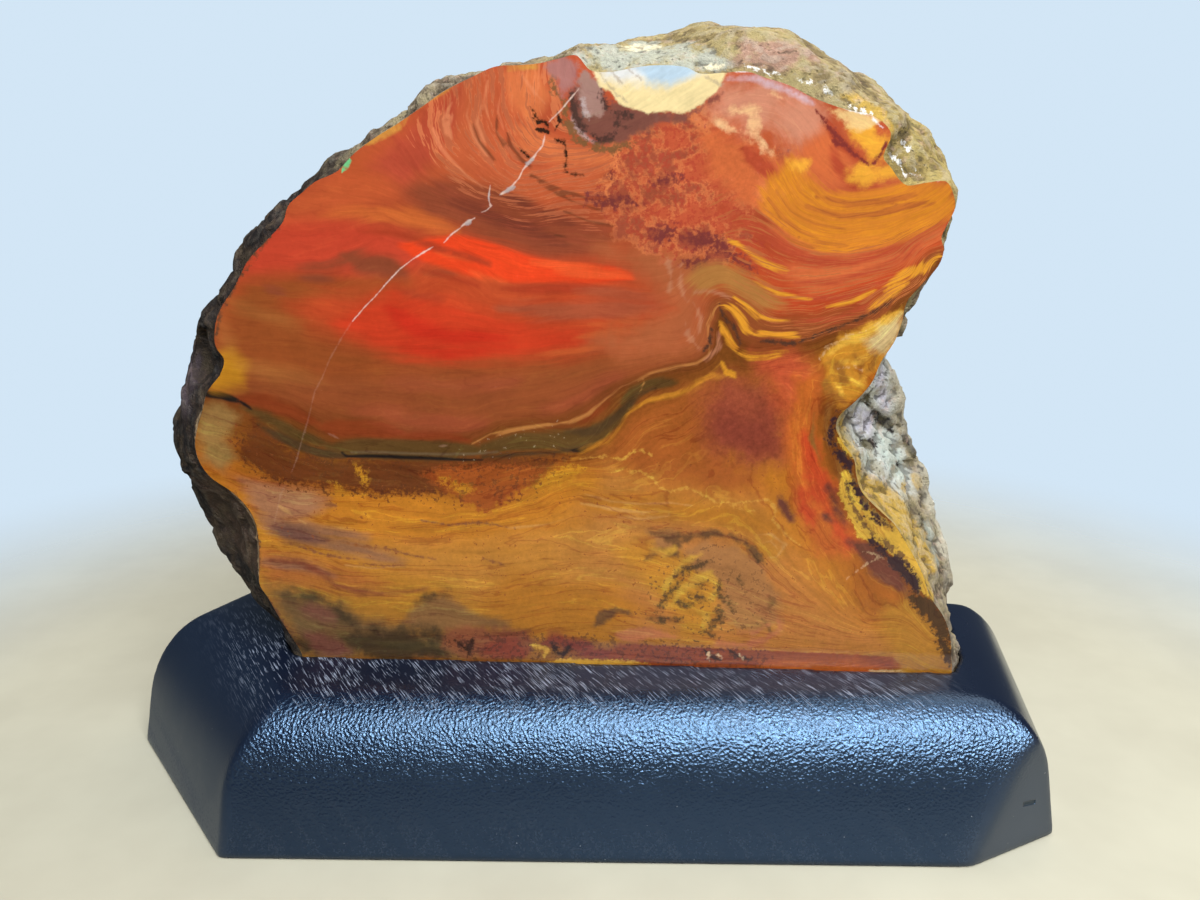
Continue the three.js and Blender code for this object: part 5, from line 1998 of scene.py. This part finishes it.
@dataclass
class Studio:
    """The floor, the light and the camera.

    Attributes:
        floor_radius: How far the floor goes, in metres.
        floor_edge: Where the floor starts to fade and where it ends, from the middle, in metres.
        haze: The pale backdrop's colour.
        glow: How much light the backdrop gives, as a share of what it shows.
        eye: Where the camera is, in mm.
        pan: How far it looks to the left, in degrees.
        tilt: How far it looks down, in degrees.
        lens: Its focal length on a sensor 36 mm wide.
        lamps: The lamps.
    """

    floor_radius: float = 6.0
    floor_edge: Point2 = (0.20, 0.42)
    haze: Colour = (0.65, 0.79, 0.92)
    glow: float = 0.14
    eye: tuple[float, float, float] = (9.2, -252.8, 166.0)
    pan: float = 1.0
    tilt: float = 15.0
    lens: float = 27.9
    lamps: tuple[Lamp, ...] = (
        Lamp("softbox", (0.22, -0.70, 0.95), (0.0, 0.0, 0.06), (0.85, 0.68), 22.5, (0.90, 0.95, 1.0)),
        Lamp("low_sheen", (0.25, -1.0, 0.68), (0.0, 0.0, 0.04), (1.0, 0.5), 46.0, (0.90, 0.95, 1.0), True),
        Lamp("overhead", (0.35, 0.20, 1.1), (0.0, 0.0, 0.1), (0.8, 0.8), 6.5, (1.0, 0.98, 0.94)),
    )

    def build(self) -> None:
        """Sets the studio up round the object."""
        self._floor()
        self._world()
        for lamp in self.lamps:
            lamp.build()
        self._camera()
        LOG.info("studio: %d lamps", len(self.lamps))

    def _floor(self) -> None:
        """Lays the floor."""
        r = self.floor_radius
        mesh = bpy.data.meshes.new("floor")
        mesh.from_pydata([(-r, -r, 0), (r, -r, 0), (r, r, 0), (-r, r, 0)], [], [(0, 1, 2, 3)])
        bench = Bench("pale_floor")
        place = bench.place()
        far = bench.node("ShaderNodeVectorMath", {"operation": "LENGTH"}, [place], output="Value")
        grain = bench.noise(place, 60, 4, 0.6)
        wood = bench.mix(grain.step(0.3, 0.7), (0.49, 0.45, 0.34), (0.54, 0.50, 0.38))
        fade = 1.0 - far.step(*self.floor_edge)
        surface = {"Base Color": wood, "Roughness": 0.6, "Specular IOR Level": 0.1, "Alpha": fade}
        mesh.materials.append(bench.finish(surface))
        hang("floor", mesh)

    def _world(self) -> None:
        """Surrounds everything with a pale backdrop, which gives less light than it shows."""
        world = bpy.data.worlds.new("pale_room")
        world.use_nodes = True
        tree = world.node_tree
        glow = tree.nodes["Background"]
        seen = tree.nodes.new("ShaderNodeBackground")
        for background, strength in ((glow, self.glow), (seen, 1.0)):
            background.inputs["Color"].default_value = (*self.haze, 1.0)
            background.inputs["Strength"].default_value = strength
        blend = tree.nodes.new("ShaderNodeMixShader")
        path = tree.nodes.new("ShaderNodeLightPath")
        tree.links.new(path.outputs["Is Camera Ray"], blend.inputs["Fac"])
        tree.links.new(glow.outputs["Background"], blend.inputs[1])
        tree.links.new(seen.outputs["Background"], blend.inputs[2])
        tree.links.new(blend.outputs["Shader"], tree.nodes["World Output"].inputs["Surface"])
        bpy.context.scene.world = world
        bpy.context.scene.view_settings.view_transform = "Standard"

    def _camera(self) -> None:
        """Places the camera."""
        data = bpy.data.cameras.new("camera")
        data.sensor_width = 36.0
        data.lens = self.lens
        data.clip_start = 0.01
        camera = hang("camera", data)
        camera.location = [MM * value for value in self.eye]
        camera.rotation_euler = (math.radians(90.0 - self.tilt), 0.0, math.radians(self.pan))
        bpy.context.scene.camera = camera


def main() -> None:
    """Builds the stone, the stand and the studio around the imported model."""
    logging.basicConfig(level=logging.INFO, format="%(name)s: %(message)s", stream=sys.stdout)
    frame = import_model()
    JasperSlab().build()
    WoodenStand().build(frame["nodes"][Node.STAND.value])
    Studio().build()


if __name__ == "__main__":
    main()
